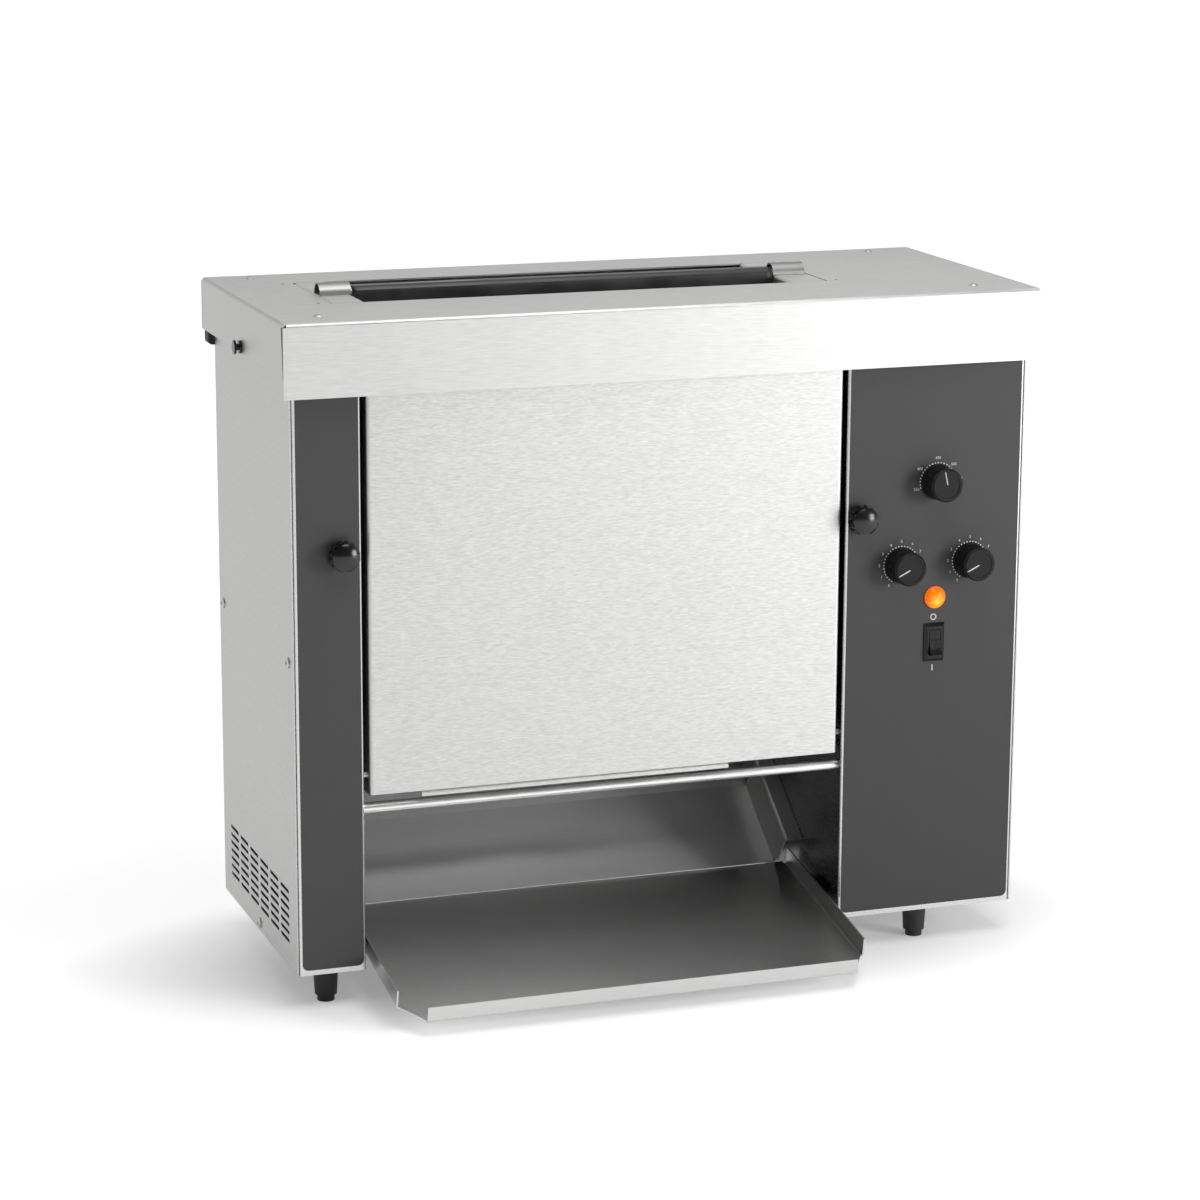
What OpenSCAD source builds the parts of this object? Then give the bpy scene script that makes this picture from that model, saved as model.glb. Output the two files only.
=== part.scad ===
// Contact toaster: a heated upright platen between two conveyor belts, under a
// slotted hood and over a discharge chute and tray.
// Millimetres. +Z is up, the front faces -Y, and the origin is on the counter
// under the middle of the outer box.

/* [Hood] */
// Width over the side flanges
hood_w = 590; // [560:1:640]
// Depth over the front and back flanges
hood_d = 250; // [244:1:280]
// Height of the top face above the counter
hood_top = 512; // [506:1:560]
// Drop of the front flange below the top face
hood_front_drop = 54; // [48:1:60]
// Drop of the side and back flanges below the top face
hood_side_drop = 39.5; // [34:0.5:44]
// Stand-out past each side panel
hood_over_side = 6.5; // [5:0.5:10]
// Stand-out in front of the cabinet
hood_over_front = 11.5; // [8:0.5:14]
// Stand-out behind the cabinet
hood_over_back = 13.5; // [13:0.5:18]
// Width of the open corner behind the front flange, at the top
corner_gap = 4.5; // [2:0.5:6]
// Rivet position in from the hood's left end
rivet_in_left = 33.5; // [30:0.5:48]
// Rivet position in from the hood's right end
rivet_in_right = 43.5; // [30:0.5:48]
// Rivet position in from the hood's front
rivet_in_front = 31; // [24:1:36]
// Rivet position in front of the rear panel
rivet_in_back = 4.5; // [4.5:0.5:24]
// Rivet shank diameter
rivet_d = 4; // [3:0.5:5]
// Pilot hole diameter beside the slot
pilot_d = 3; // [2:0.5:4]
// Pilot hole position out from the slot opening
pilot_out = 8; // [5:1:12]

/* [Thumbscrews] */
// Height of the thumbscrew above the side flange's lower edge
thumb_rise = 4.5; // [4:0.5:12]
// Position in front of the hood's middle
thumb_fore = -1.5; // [-6:0.5:20]
// Shank diameter
thumb_d = 4; // [3.5:0.5:6]
// Head diameter
thumb_head_d = 10.5; // [9:0.5:12]
// Stand-out of the screw past the flange
thumb_out = 5.5; // [5:0.5:14]

/* [Sheet metal] */
// Thickness of the folded sheets
sheet_t = 1.2; // [0.8:0.1:1.5]
// Outer radius of the folds
bend_r = 2.6; // [2:0.1:4]
// Visible seam between neighbouring skins
seam = 0.8; // [0.6:0.1:1.2]
// Depth of the return flanges behind the skins
return_d = 25; // [22:1:32]

/* [Cabinet] */
// Height of the feet
foot_h = 26.5; // [22:0.5:32]
// Width of the left pillar
pillar_w = 52.5; // [46:0.5:60]
// Width of the control housing
control_w = 146.7; // [140:0.1:160]
// Thickness of the dark overlays
overlay_t = 0.6; // [0.4:0.1:1]
// Bright border beside the overlays
overlay_side = 2; // [1.5:0.1:4]
// Bright border below the overlays
overlay_below = 4; // [3:0.5:8]
// Corner radius of the overlays
overlay_r = 4.5; // [3:0.5:8]
// Height of the base pan's upturned flanges
base_flange = 14; // [12:1:18]
// Depth of the base pan's rear cross strip
base_strip = 48; // [40:1:60]

/* [Side vents] */
// Slot length
vent_l = 25; // [20:1:28]
// Slot height
vent_h = 3; // [2:0.5:4]
// Columns of slots
vent_cols = 6; // [4:1:6]
// Rows of slots
vent_rows = 7; // [5:1:9]
// Spacing of the columns
vent_pitch_y = 31; // [29:0.5:32]
// Spacing of the rows
vent_pitch_z = 6.35; // [5:0.05:8]
// Height of the lowest row above the cabinet's bottom
vent_rise = 20; // [18:1:30]

/* [Panel screws] */
// Shank diameter
screw_d = 4; // [3:0.5:5]
// Head diameter
screw_head_d = 8; // [7:0.5:9]
// Head height
screw_head_h = 2.2; // [1.8:0.1:3]
// Shank length
screw_l = 7; // [5:0.5:9]
// Position in from the panel's front and back edges
screw_in = 13; // [11:1:16]
// Height of the middle screws above the cabinet's bottom
screw_rise = 235; // [200:1:260]
// Height of the low screw above the cabinet's bottom
screw_low = 6.5; // [6:0.5:8]

/* [Bun slot] */
// Position of the slot's bar behind the hood's middle
slot_aft = 9; // [6:0.5:12]
// Opening in front of the release bar
front_throat = 39.5; // [36:0.5:44]
// Opening behind the release bar
rear_throat = 55.5; // [50:0.5:60]
// Length of the left end plate
left_plate_l = 26; // [20:1:30]
// Length of the right end plate inside the cavity
right_plate_l = 16; // [12:1:20]
// Length of the right end plate over the control housing
right_plate_over = 12; // [8:1:16]
// Depth of the end plates' downturned legs
plate_leg = 24; // [18:1:30]

/* [Release bar and sheet] */
// Width of the bar
bar_w = 15; // [13:0.5:16]
// Height of the bar
bar_h = 5.2; // [4:0.1:7]
// Sheet thickness of the bar
bar_t = 1; // [0.8:0.1:1.2]
// Position of the bar's ends in from the hood opening
bar_in = 2.7; // [2:0.1:5]
// Rise of the bar's end caps above the bar
cap_rise = 3.5; // [2.5:0.5:5]
// Thickness of the release sheet
release_t = 0.5; // [0.4:0.1:0.8]
// Position of the sheet's side edges in from the end plates
release_in = 0.5; // [0.5:0.5:4]
// Height of the tails' lower edges above the platen's lower edge
release_rise = 6; // [0:1:40]

/* [Platen] */
// Thickness
platen_t = 20; // [18:1:24]
// Height of the lower edge above the counter
platen_z = 168; // [160:1:176]
// Drop of the platen's top below the hood's top face
platen_drop = 26; // [22:1:40]
// Height of the tapered top
platen_taper = 12; // [8:1:16]
// Position of the ends in from the end plates
platen_in = 4; // [2:0.5:8]
// Heating element diameter
heater_d = 8; // [6:0.5:10]
// Number of heating elements
heater_n = 4; // [2:1:5]
// Mounting stud diameter
stud_d = 12; // [10:1:14]

/* [Conveyors] */
// Gap between the front belt and the release sheet
crown_gap = 30; // [26:1:33]
// Gap between the rear belt and the rear panel
heel_gap = 12; // [10:0.5:16]
// Roller diameter
roller_d = 38; // [34:1:40]
// Belt thickness
belt_t = 2.2; // [2:0.1:3]
// Belt cleat height
cleat_h = 1.5; // [1:0.1:2]
// Belt cleat thickness
cleat_t = 2; // [1.5:0.1:3]
// Cleats along each straight run
cleat_n = 21; // [14:1:26]
// Shaft diameter
shaft_d = 10; // [8:0.5:12]
// Height of the drive shafts
drive_z = 190; // [188:1:196]
// Drop of the idler shafts below the hood's top face
idler_drop = 72; // [70:1:92]
// Position of the rollers' ends in from the walls
roller_in = 9; // [7:0.5:12]
// Position of the belts' edges in from the rollers' ends
belt_in = 3; // [2:0.5:6]
// Outer diameter of the shaft bushes
bush_d = 14; // [13:0.5:16]

/* [Gearmotors] */
// Side of the square gearbox
gearbox_w = 52; // [46:1:56]
// Length of the gearbox
gearbox_l = 38; // [32:1:46]
// Motor diameter
motor_d = 46; // [40:1:50]
// Motor length
motor_l = 66; // [56:1:72]

/* [Front cover] */
// Gap beside the cover
cover_gap = 4; // [3:0.5:5]
// Height of the cover's lower edge
cover_z = 160; // [158:1:170]
// Gap between the cover and the hood's front flange
cover_top_gap = 1.5; // [1:0.1:3]
// Depth of the cover's flanges
cover_d = 18; // [15:1:22]
// Drop of the lip below the cover
lip_drop = 4.5; // [3:0.5:6]
// Position of the lip's left end in from the cover's edge
lip_in_left = 40; // [8:1:60]
// Position of the lip's right end in from the cover's edge
lip_in_right = 88; // [60:1:110]
// Pivot pin diameter
pin_d = 5; // [4:0.5:6]
// Height of the pins above the cover's lower edge
pin_rise = 14; // [12:0.5:18]
// Position of the pins behind the cover's face
pin_back = 8; // [7:0.5:10]

/* [Discharge] */
// Guard rod diameter
rod_d = 8; // [6:0.5:9]
// Drop of the guard rod below the cover's lower edge
rod_below = 12; // [12:0.5:16]
// Position of the guard rod behind the cabinet's front
rod_back = 9.5; // [8:0.5:14]
// Stand-out of the tray in front of the hood
tray_out = 77; // [60:1:100]
// Height of the tray's front edge above the counter
tray_z = 11.5; // [9:0.5:13]
// Slope of the tray in degrees
tray_slope = 10; // [8:0.5:11]
// Gap between the tray and the inner walls
tray_gap = 4.8; // [3:0.1:7]
// Height of the tray's front lip
tray_lip = 12.8; // [10:0.2:16]
// Height of the tray's side flanges
tray_flange = 15; // [12:0.5:18]
// Sideways length of the tray's cut front corners
tray_cut_x = 16; // [12:1:22]
// Lengthways depth of the tray's cut front corners
tray_cut_y = 25; // [20:1:32]
// Depth of the chute's upper run
chute_rear = 65.5; // [60:0.5:72]
// Slope of the chute's lower run in degrees
chute_slope = 36; // [30:1:38]
// Slope of the chute's upper run in degrees
chute_steep = 50; // [44:1:54]
// Depth of the chute's lower run
chute_run = 63; // [58:1:70]
// Position of the chute's upturned sides in from the tray's sides
chute_in = 9.5; // [8:0.5:11]
// Height of the chute's upturned sides
chute_wall = 31; // [26:1:34]
// Length of the ledges under the tray
ledge_l = 36; // [30:1:44]
// Width of the ledges under the tray
ledge_w = 12; // [9:0.5:16]

/* [Controls] */
// Position of the control column out from the housing's inner edge
control_in = 74.7; // [70:0.1:80]
// Height of the temperature dial
temperature_z = 366.5; // [358:0.5:380]
// Height of the speed dials
speed_z = 303.5; // [300:0.5:310]
// Spacing of the speed dials
speed_span = 57; // [50:1:62]
// Height of the lamp
lamp_z = 276.4; // [272:0.2:278]
// Height of the switch
switch_z = 241.3; // [232:0.1:244]
// Dial knob skirt diameter
dial_d = 28; // [26:0.5:30]
// Dial knob face diameter
dial_face_d = 25; // [21:0.5:25]
// Dial knob height
dial_h = 19; // [14:0.5:20]
// Dial spindle diameter
spindle_d = 6; // [5:0.5:6.5]
// Rest angle of the temperature pointer from upright in degrees
temperature_rest = -12; // [-90:1:90]
// Rest angle of the speed pointers from upright in degrees
speed_rest = -116; // [-140:1:140]
// Lamp lens diameter
lens_d = 17; // [15:0.5:19]
// Switch bezel width
bezel_w = 16.8; // [16:0.2:20]
// Switch bezel height
bezel_h = 29.8; // [29:0.2:34]
// Switch bezel stand-out
bezel_out = 3; // [2:0.2:4]
// Rocker width
rocker_w = 9.2; // [8:0.2:10]
// Rocker length
rocker_l = 19.6; // [18:0.2:21]
// Rocker throw in degrees
rocker_throw = 24; // [16:1:28]

/* [Clamp knobs] */
// Height of the knobs
clamp_z = 342; // [330:1:350]
// Position of the left knob out from the cavity
clamp_in_left = 15.4; // [13:0.2:20]
// Position of the right knob out from the cavity
clamp_in_right = 11; // [10.5:0.1:16]
// Knob diameter
clamp_d = 22.5; // [22:0.5:26]
// Stand-out of the knob
clamp_h = 16; // [13:0.5:18]
// Number of flutes
clamp_flutes = 12; // [8:1:16]
// Stud diameter
clamp_stud_d = 8; // [6:0.5:8]

/* [Feet and pads] */
// Foot diameter at the cabinet
foot_top_d = 19; // [17:0.5:22]
// Foot diameter at the shoulder
foot_low_d = 16.6; // [15:0.2:17]
// Foot diameter at the counter
foot_tip_d = 13; // [10:0.5:14]
// Height of the foot's shoulder
foot_step = 5; // [4:0.5:7]
// Position of the feet in from the cabinet's front and back
foot_in = 19.5; // [14:0.5:26]
// Drop of the rear pads below the hood's flange
pad_drop = 11; // [8:0.5:14]
// Width of the rear pads
pad_w = 18; // [14:1:24]

/* [Electrics] */
// Side of the cooling fan
fan_w = 80; // [76:1:82]
// Depth of the cooling fan
fan_d = 25; // [22:1:28]
// Height of the fan's centre above the cabinet's bottom
fan_rise = 74; // [60:1:80]
// Number of fan blades
fan_blades = 7; // [5:1:9]
// Bore of the cord gland
gland_bore = 10; // [8:0.5:11]
// Height of the cord gland above the cabinet's bottom
gland_rise = 40; // [30:1:50]
// Speed board height
board_h = 110; // [90:1:120]
// Speed board depth
board_d = 72; // [60:1:76]
// Stand-off of the speed board from the wall
board_off = 8; // [6:0.5:10]
// Gap between the speed board and the rear panel
board_back = 7.5; // [4:0.5:12]
// Gap between the gearboxes and the speed board
board_gap = 30; // [24:1:36]
// Temperature controller box height
controller_h = 58; // [50:1:62]
// Temperature controller box depth
controller_d = 80; // [70:1:90]
// Temperature controller box width
controller_w = 34; // [28:1:42]
// Number of poles in the terminal block
terminal_n = 6; // [4:1:8]
// Width of one pole
terminal_w = 11; // [10:0.5:12]
// Depth of the terminal block
terminal_d = 24; // [20:1:28]
// Height of the terminal block
terminal_h = 18; // [15:1:22]

/* [Hidden] */
$fn = 48;
// Running clearance of shafts and spindles, on the radius
run = 0.05;
// Clearance between pieces that slide past each other
slip = 0.4;
// Gap under pieces that rest and lift off
rest = 0.1;
// Overreach of cuts
cut = 1;
bend_steps = 4;

hood_y = tray_out / 2;
hood_l = -hood_w / 2;
hood_r = hood_w / 2;
hood_front = hood_y - hood_d / 2;
hood_back = hood_y + hood_d / 2;

body_l = hood_l + hood_over_side;
body_r = hood_r - hood_over_side;
body_front = hood_front + hood_over_front;
body_back = hood_back - hood_over_back;
body_y = (body_front + body_back) / 2;
body_top = hood_top - sheet_t - rest;
frame_l = body_l + sheet_t;
frame_r = body_r - sheet_t;
frame_back = body_back - sheet_t;
base_top = foot_h + sheet_t;
cavity_l = body_l + pillar_w;
cavity_r = body_r - control_w;
wall_l = cavity_l - sheet_t;
wall_r = cavity_r + sheet_t;

platen_y = hood_y + slot_aft;
slot_front = platen_y - bar_w / 2 - front_throat;
slot_back = platen_y + bar_w / 2 + rear_throat;
slot_l = cavity_l + left_plate_l;
slot_r = cavity_r - right_plate_l;
opening_l = cavity_l - sheet_t;
opening_r = cavity_r + right_plate_over + sheet_t;

platen_l = slot_l + platen_in;
platen_r = slot_r - platen_in;
platen_top = hood_top - platen_drop;
platen_h = platen_top - platen_z;
platen_tip = bar_w / 2 - 1;
heater_pitch = platen_h / (heater_n + 0.6);
sheet_half = platen_t / 2 + slip + release_t;
bar_half = bar_w / 2 + release_t;
bar_z = hood_top + rest;
bar_top = bar_z + bar_h;
bar_round = 0.85 * bar_h;
cap_w = bar_w + 1.5 * bar_t;
cap_crown = bar_top + cap_rise - cap_w / 2;
sheet_low = platen_z + release_rise;

belt_r0 = roller_d / 2 + slip;
belt_r1 = belt_r0 + belt_t;
loop_r = belt_r1 + cleat_h;
front_y = platen_y - sheet_half - crown_gap - loop_r;
rear_y = frame_back - heel_gap - loop_r;
roller_l = cavity_l + roller_in;
roller_r = cavity_r - roller_in;
idler_z = hood_top - idler_drop;
shaft_over = 5;
bush_flange = 2;

cover_l = cavity_l + cover_gap;
cover_r = cavity_r - cover_gap;
cover_top = hood_top - hood_front_drop - cover_top_gap;
pin_y = body_front + pin_back;
pin_z = cover_z + pin_rise;
rod_y = body_front + rod_back;
rod_z = cover_z - rod_below;

tray_l = cavity_l + tray_gap;
tray_r = cavity_r - tray_gap;
tray_front = hood_front - tray_out + tray_lip * sin(tray_slope);
tray_tuck = 2;
chute_end_y = frame_back - sheet_t;
chute_bend_y = chute_end_y - chute_rear;
chute_y = chute_bend_y - chute_run;
tray_len = (chute_y + tray_tuck - tray_front) / cos(tray_slope);
tray_flange_end = (chute_y - tray_front) / cos(tray_slope) - 2;
chute_step = tray_tuck * tan(tray_slope) + slip;
tray_rise = (chute_y - tray_front) * tan(tray_slope);
chute_z = tray_z + tray_rise + sheet_t / cos(tray_slope) + chute_step + sheet_t;
chute_bend_z = chute_z + chute_run * tan(chute_slope);
chute_end_z = chute_bend_z + chute_rear * tan(chute_steep);
chute_flange = 18;
chute_l = tray_l + chute_in;
chute_r = tray_r - chute_in;

control_x = cavity_r + control_in;
panel_back = body_front + sheet_t;
overlay_face = body_front - overlay_t;
temperature_at = [control_x, temperature_z];
front_speed_at = [control_x - speed_span / 2, speed_z];
rear_speed_at = [control_x + speed_span / 2, speed_z];
dial_at = [temperature_at, front_speed_at, rear_speed_at];
dial_bush_d = spindle_d + 3;
dial_body_d = 16;
dial_body_l = 9;
lens_body_d = 12.6;
lamp_at = [control_x, lamp_z];
switch_at = [control_x, switch_z];
switch_body_w = bezel_w - 4;
switch_body_h = bezel_h - 4;
switch_body_d = 24;
clamp_left_x = cavity_l - clamp_in_left;
clamp_right_x = cavity_r + clamp_in_right;
clamp_nut_w = 13;
clamp_reach = 16;

thumb_y = hood_y - thumb_fore;
thumb_z = hood_top - hood_side_drop + thumb_rise;
left_foot_x = (body_l + cavity_l) / 2;
right_foot_x = (body_r + cavity_r) / 2;
foot_stud_d = 6;
foot_y = [body_front + foot_in, body_back - foot_in];
screw_y = [body_front + screw_in, body_back - screw_in];
side_screws = [
    [screw_y[0], foot_h + screw_rise],
    [screw_y[1], foot_h + screw_rise],
    [body_y, foot_h + screw_low]
];
fan_x = (wall_r + frame_r) / 2;
fan_z = foot_h + fan_rise;
gland_x = (wall_r + fan_x - fan_w / 2) / 2;
gland_z = foot_h + gland_rise;

steel = [0.78, 0.78, 0.77];
dark = [0.16, 0.16, 0.17];
black = [0.05, 0.05, 0.05];
brass = [0.75, 0.6, 0.3];
alloy = [0.62, 0.63, 0.65];

// Outline of a folded sheet: the path is one face and the sheet lies to its left
function unit(v) = v / norm(v);
function leftward(v) = [-v[1], v[0]];
function along(p, i) = unit(p[i + 1] - p[i]);
function arc(c, r, a0, a1) = [
    for (i = [0:bend_steps])
        let (a = a0 + (a1 - a0) * i / bend_steps) c + r * [cos(a), sin(a)]
];
function fold(p, i, off, r) =
    let (
        d0 = along(p, i - 1),
        d1 = along(p, i),
        s = cross(d0, d1) > 0 ? 1 : -1,
        face_r = s > 0 ? r : r - sheet_t,
        c = p[i] + s * face_r * (leftward(d0) + leftward(d1)) / (1 + d0 * d1),
        n0 = -s * leftward(d0),
        a0 = atan2(n0[1], n0[0])
    )
    arc(c, face_r - s * off, a0, a0 + s * acos(d0 * d1));
function face(p, off, r) = concat(
    [p[0] + off * leftward(along(p, 0))],
    [for (i = [1:1:len(p) - 2]) each fold(p, i, off, r)],
    [p[len(p) - 1] + off * leftward(along(p, len(p) - 2))]
);
function reversed(p) = [for (i = [len(p) - 1:-1:0]) p[i]];
function folded(p, t = sheet_t, r = bend_r) = concat(face(p, 0, r), reversed(face(p, t, r)));

// Long hole with round ends, lying along x
function obround(l, h) = concat(
    arc([l / 2 - h / 2, 0], h / 2, -90, 90),
    arc([h / 2 - l / 2, 0], h / 2, 90, 270)
);

// Box between two limits on each axis
module slab(x, y, z) {
    translate([x[0], y[0], z[0]])
        cube([x[1] - x[0], y[1] - y[0], z[1] - z[0]]);
}

// Outline in (y, z) drawn out along x
module sweep_x(x) {
    translate([x[0], 0, 0])
        rotate([90, 0, 90])
            linear_extrude(x[1] - x[0])
                children();
}

// Outline in (x, z) drawn out along y
module sweep_y(y) {
    translate([0, y[1], 0])
        rotate([90, 0, 0])
            linear_extrude(y[1] - y[0])
                children();
}

// Round bar along x
module bar_x(d, x, y, z) {
    translate([x[0], y, z])
        rotate([0, 90, 0])
            cylinder(d = d, h = x[1] - x[0]);
}

// Round bar along y
module bar_y(d, y, x, z) {
    translate([x, y[1], z])
        rotate([90, 0, 0])
            cylinder(d = d, h = y[1] - y[0]);
}

// Round bar along z
module bar_z(d, z, x, y) {
    translate([x, y, z[0]])
        cylinder(d = d, h = z[1] - z[0]);
}

// Copy onto the right-hand side
module both_sides() {
    children();
    mirror([1, 0, 0])
        children();
}

// Lay children on the front panel, +z pointing out of it
module on_front(at, y) {
    translate([at[0], y, at[1]])
        rotate([90, 0, 0])
            children();
}

// Lay children on the sloping tray, +y pointing up the slope
module on_slope() {
    translate([0, tray_front, tray_z])
        rotate([tray_slope, 0, 0])
            children();
}

module hood() {
    side = [
        [hood_l + return_d, hood_top],
        [hood_l, hood_top],
        [hood_l, hood_top - hood_side_drop]
    ];
    section = [
        [hood_back, hood_top - hood_side_drop],
        [hood_back, hood_top],
        [hood_front, hood_top],
        [hood_front, hood_top - hood_front_drop]
    ];
    inside = hood_front + sheet_t;
    low = hood_top - hood_side_drop;
    color(steel)
        difference() {
            union() {
                sweep_x([hood_l + bend_r, hood_r - bend_r])
                    polygon(folded(section));
                both_sides()
                    sweep_y([hood_front + sheet_t + seam, hood_back - sheet_t - seam])
                        polygon(folded(side));
                both_sides()
                    slab([hood_l, hood_l + 2 * bend_r], [hood_front, hood_front + sheet_t],
                        [hood_top - hood_front_drop, hood_top - bend_r]);
                both_sides()
                    slab([hood_l, hood_l + 2 * bend_r], [hood_back - sheet_t, hood_back],
                        [hood_top - hood_side_drop, hood_top - bend_r]);
                both_sides()
                    translate([hood_l + sheet_t / 2, thumb_y, thumb_z])
                        rotate([0, 90, 0])
                            cylinder(d = 2 * thumb_d, h = (hood_over_side - sheet_t) / 2, $fn = 6);
            }
            slab([opening_l, opening_r], [slot_front, slot_back], [hood_top - sheet_t - cut, hood_top + cut]);
            both_sides()
                sweep_x([hood_l - cut, hood_l + sheet_t + cut])
                    polygon([
                        [inside, low - cut],
                        [inside + seam, low - cut],
                        [inside + corner_gap, hood_top - bend_r],
                        [inside, hood_top - bend_r]
                    ]);
            both_sides()
                bar_x(thumb_d + 2 * run, [hood_l - cut, hood_l + hood_over_side], thumb_y, thumb_z);
            hood_rivet_places()
                cylinder(d = rivet_d, h = 2 * (sheet_t + cut), center = true);
            for (x = [opening_l - pilot_out, opening_r + pilot_out])
                for (y = [slot_front + pilot_d, slot_back - pilot_d])
                    bar_z(pilot_d, [hood_top - sheet_t - cut, hood_top + cut], x, y);
        }
}

module hood_rivet_places() {
    for (x = [hood_l + rivet_in_left, hood_r - rivet_in_right])
        for (y = [hood_front + rivet_in_front, frame_back - rivet_in_back])
            translate([x, y, hood_top])
                children();
}

module hood_rivets() {
    head_h = rivet_d / 2.4;
    color(alloy)
        hood_rivet_places() {
            intersection() {
                cylinder(d = 1.8 * rivet_d, h = head_h);
                translate([0, 0, head_h - 1.2 * rivet_d])
                    sphere(r = 1.2 * rivet_d);
            }
            translate([0, 0, -sheet_t])
                cylinder(d = rivet_d, h = sheet_t);
            translate([0, 0, -sheet_t - head_h])
                cylinder(d = 1.5 * rivet_d, h = head_h);
        }
}

// Two discs on a narrow waist, the outer one knurled
module thumbscrew() {
    disc = 0.3 * thumb_out;
    shank = hood_over_side + rest - slip;
    translate([hood_l - rest, thumb_y, thumb_z])
        rotate([0, -90, 0]) {
            cylinder(d = 0.92 * thumb_head_d, h = disc);
            cylinder(d = 0.45 * thumb_head_d, h = thumb_out - disc);
            translate([0, 0, thumb_out - disc])
                linear_extrude(0.75 * disc)
                    difference() {
                        circle(d = thumb_head_d);
                        for (a = [0:20:340])
                            rotate(a)
                                translate([thumb_head_d / 2 + 0.25, 0])
                                    circle(d = 1.2);
                    }
            translate([0, 0, thumb_out - disc / 4])
                cylinder(d1 = thumb_head_d - 1, d2 = thumb_head_d - 1.8, h = disc / 4);
            translate([0, 0, -shank])
                cylinder(d = thumb_d, h = shank);
        }
}

module left_thumbscrew() {
    color(black)
        thumbscrew();
}

module right_thumbscrew() {
    color(black)
        mirror([1, 0, 0])
            thumbscrew();
}

// Holes in both inner walls for shafts, rod and pivot pins
module wall_holes(x) {
    for (y = [front_y, rear_y])
        for (z = [drive_z, idler_z])
            bar_x(bush_d, x, y, z);
    bar_x(rod_d, x, rod_y, rod_z);
    bar_x(pin_d, x, pin_y, pin_z);
}

module left_pillar() {
    wrap = [
        [frame_l, body_front + return_d],
        [frame_l, body_front],
        [cavity_l, body_front],
        [cavity_l, frame_back]
    ];
    color(steel)
        difference() {
            translate([0, 0, foot_h])
                linear_extrude(body_top - foot_h)
                    polygon(folded(wrap));
            wall_holes([wall_l - cut, cavity_l + cut]);
            slab([wall_l - cut, cavity_l + cut], [body_back - base_strip, body_back], [foot_h - cut, base_top]);
            bar_y(clamp_stud_d + 2 * run, [body_front - cut, panel_back + cut], clamp_left_x, clamp_z);
            bar_x(screw_d, [frame_l - cut, frame_l + sheet_t + cut], screw_y[0], foot_h + screw_rise);
        }
}

module control_housing() {
    wrap = [
        [cavity_r, frame_back],
        [cavity_r, body_front],
        [frame_r, body_front],
        [frame_r, body_front + return_d]
    ];
    color(steel)
        difference() {
            translate([0, 0, foot_h])
                linear_extrude(body_top - foot_h)
                    polygon(folded(wrap));
            wall_holes([cavity_r - cut, wall_r + cut]);
            for (i = [0:heater_n - 1])
                bar_x(heater_d + 6, [cavity_r - cut, wall_r + cut], platen_y, heater_z(i));
            slab([cavity_r - cut, wall_r + cut], [body_back - base_strip, body_back], [foot_h - cut, base_top]);
            panel_holes([body_front - cut, panel_back + cut]);
            bar_x(screw_d, [frame_r - sheet_t - cut, frame_r + cut], screw_y[0], foot_h + screw_rise);
        }
}

// Holes through the control panel and its overlay
module panel_holes(y) {
    for (at = dial_at)
        bar_y(dial_bush_d + 2 * run, y, at[0], at[1]);
    bar_y(lens_body_d + 2 * run, y, lamp_at[0], lamp_at[1]);
    slab([switch_at[0] - switch_body_w / 2, switch_at[0] + switch_body_w / 2], y,
        [switch_at[1] - switch_body_h / 2, switch_at[1] + switch_body_h / 2]);
    bar_y(clamp_stud_d + 2 * run, y, clamp_right_x, clamp_z);
}

// Overlay outline with rounded lower corners, in (x, z)
function overlay_outline(x0, x1) = concat(
    [[x1, body_top - overlay_side], [x0, body_top - overlay_side]],
    arc([x0 + overlay_r, foot_h + overlay_below + overlay_r], overlay_r, 180, 270),
    arc([x1 - overlay_r, foot_h + overlay_below + overlay_r], overlay_r, 270, 360)
);

module left_overlay() {
    color(dark)
        difference() {
            sweep_y([overlay_face, body_front])
                polygon(overlay_outline(frame_l + bend_r, cavity_l - overlay_side));
            bar_y(clamp_stud_d + 2 * run, [overlay_face - cut, body_front + cut], clamp_left_x, clamp_z);
        }
}

module control_overlay() {
    color(dark)
        difference() {
            sweep_y([overlay_face, body_front])
                polygon(overlay_outline(cavity_r + overlay_side, frame_r - bend_r));
            panel_holes([overlay_face - cut, body_front + cut]);
        }
}

module side_panel() {
    mid_y = vent_pitch_y * (vent_cols - 1) / 2;
    difference() {
        slab([body_l, frame_l], [body_front + seam, body_back], [foot_h, body_top]);
        for (c = [0:vent_cols - 1])
            for (r = [0:vent_rows - 1])
                translate([0, body_y - mid_y + c * vent_pitch_y, foot_h + vent_rise + r * vent_pitch_z])
                    sweep_x([body_l - cut, frame_l + cut])
                        polygon(obround(vent_l, vent_h));
        for (at = side_screws)
            bar_x(screw_d, [body_l - cut, frame_l + cut], at[0], at[1]);
    }
}

module left_side_panel() {
    color(steel)
        side_panel();
}

module right_side_panel() {
    color(steel)
        mirror([1, 0, 0])
            side_panel();
}

module rear_panel() {
    wrap = [
        [frame_r, body_back - return_d],
        [frame_r, body_back],
        [frame_l, body_back],
        [frame_l, body_back - return_d]
    ];
    grille = [[0, 1], [10, 6], [20, 12], [30, 18]];
    color(steel)
        difference() {
            translate([0, 0, foot_h])
                linear_extrude(body_top - foot_h)
                    polygon(folded(wrap));
            for (ring = grille)
                for (i = [0:ring[1] - 1])
                    bar_y(6, [frame_back - cut, body_back + cut],
                        fan_x + ring[0] * cos(360 * i / ring[1]), fan_z + ring[0] * sin(360 * i / ring[1]));
            bar_y(gland_bore + 6 + 2 * run, [frame_back - cut, body_back + cut], gland_x, gland_z);
            both_sides()
                bar_x(screw_d, [frame_l - cut, frame_l + sheet_t + cut], screw_y[1], foot_h + screw_rise);
        }
}

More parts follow.
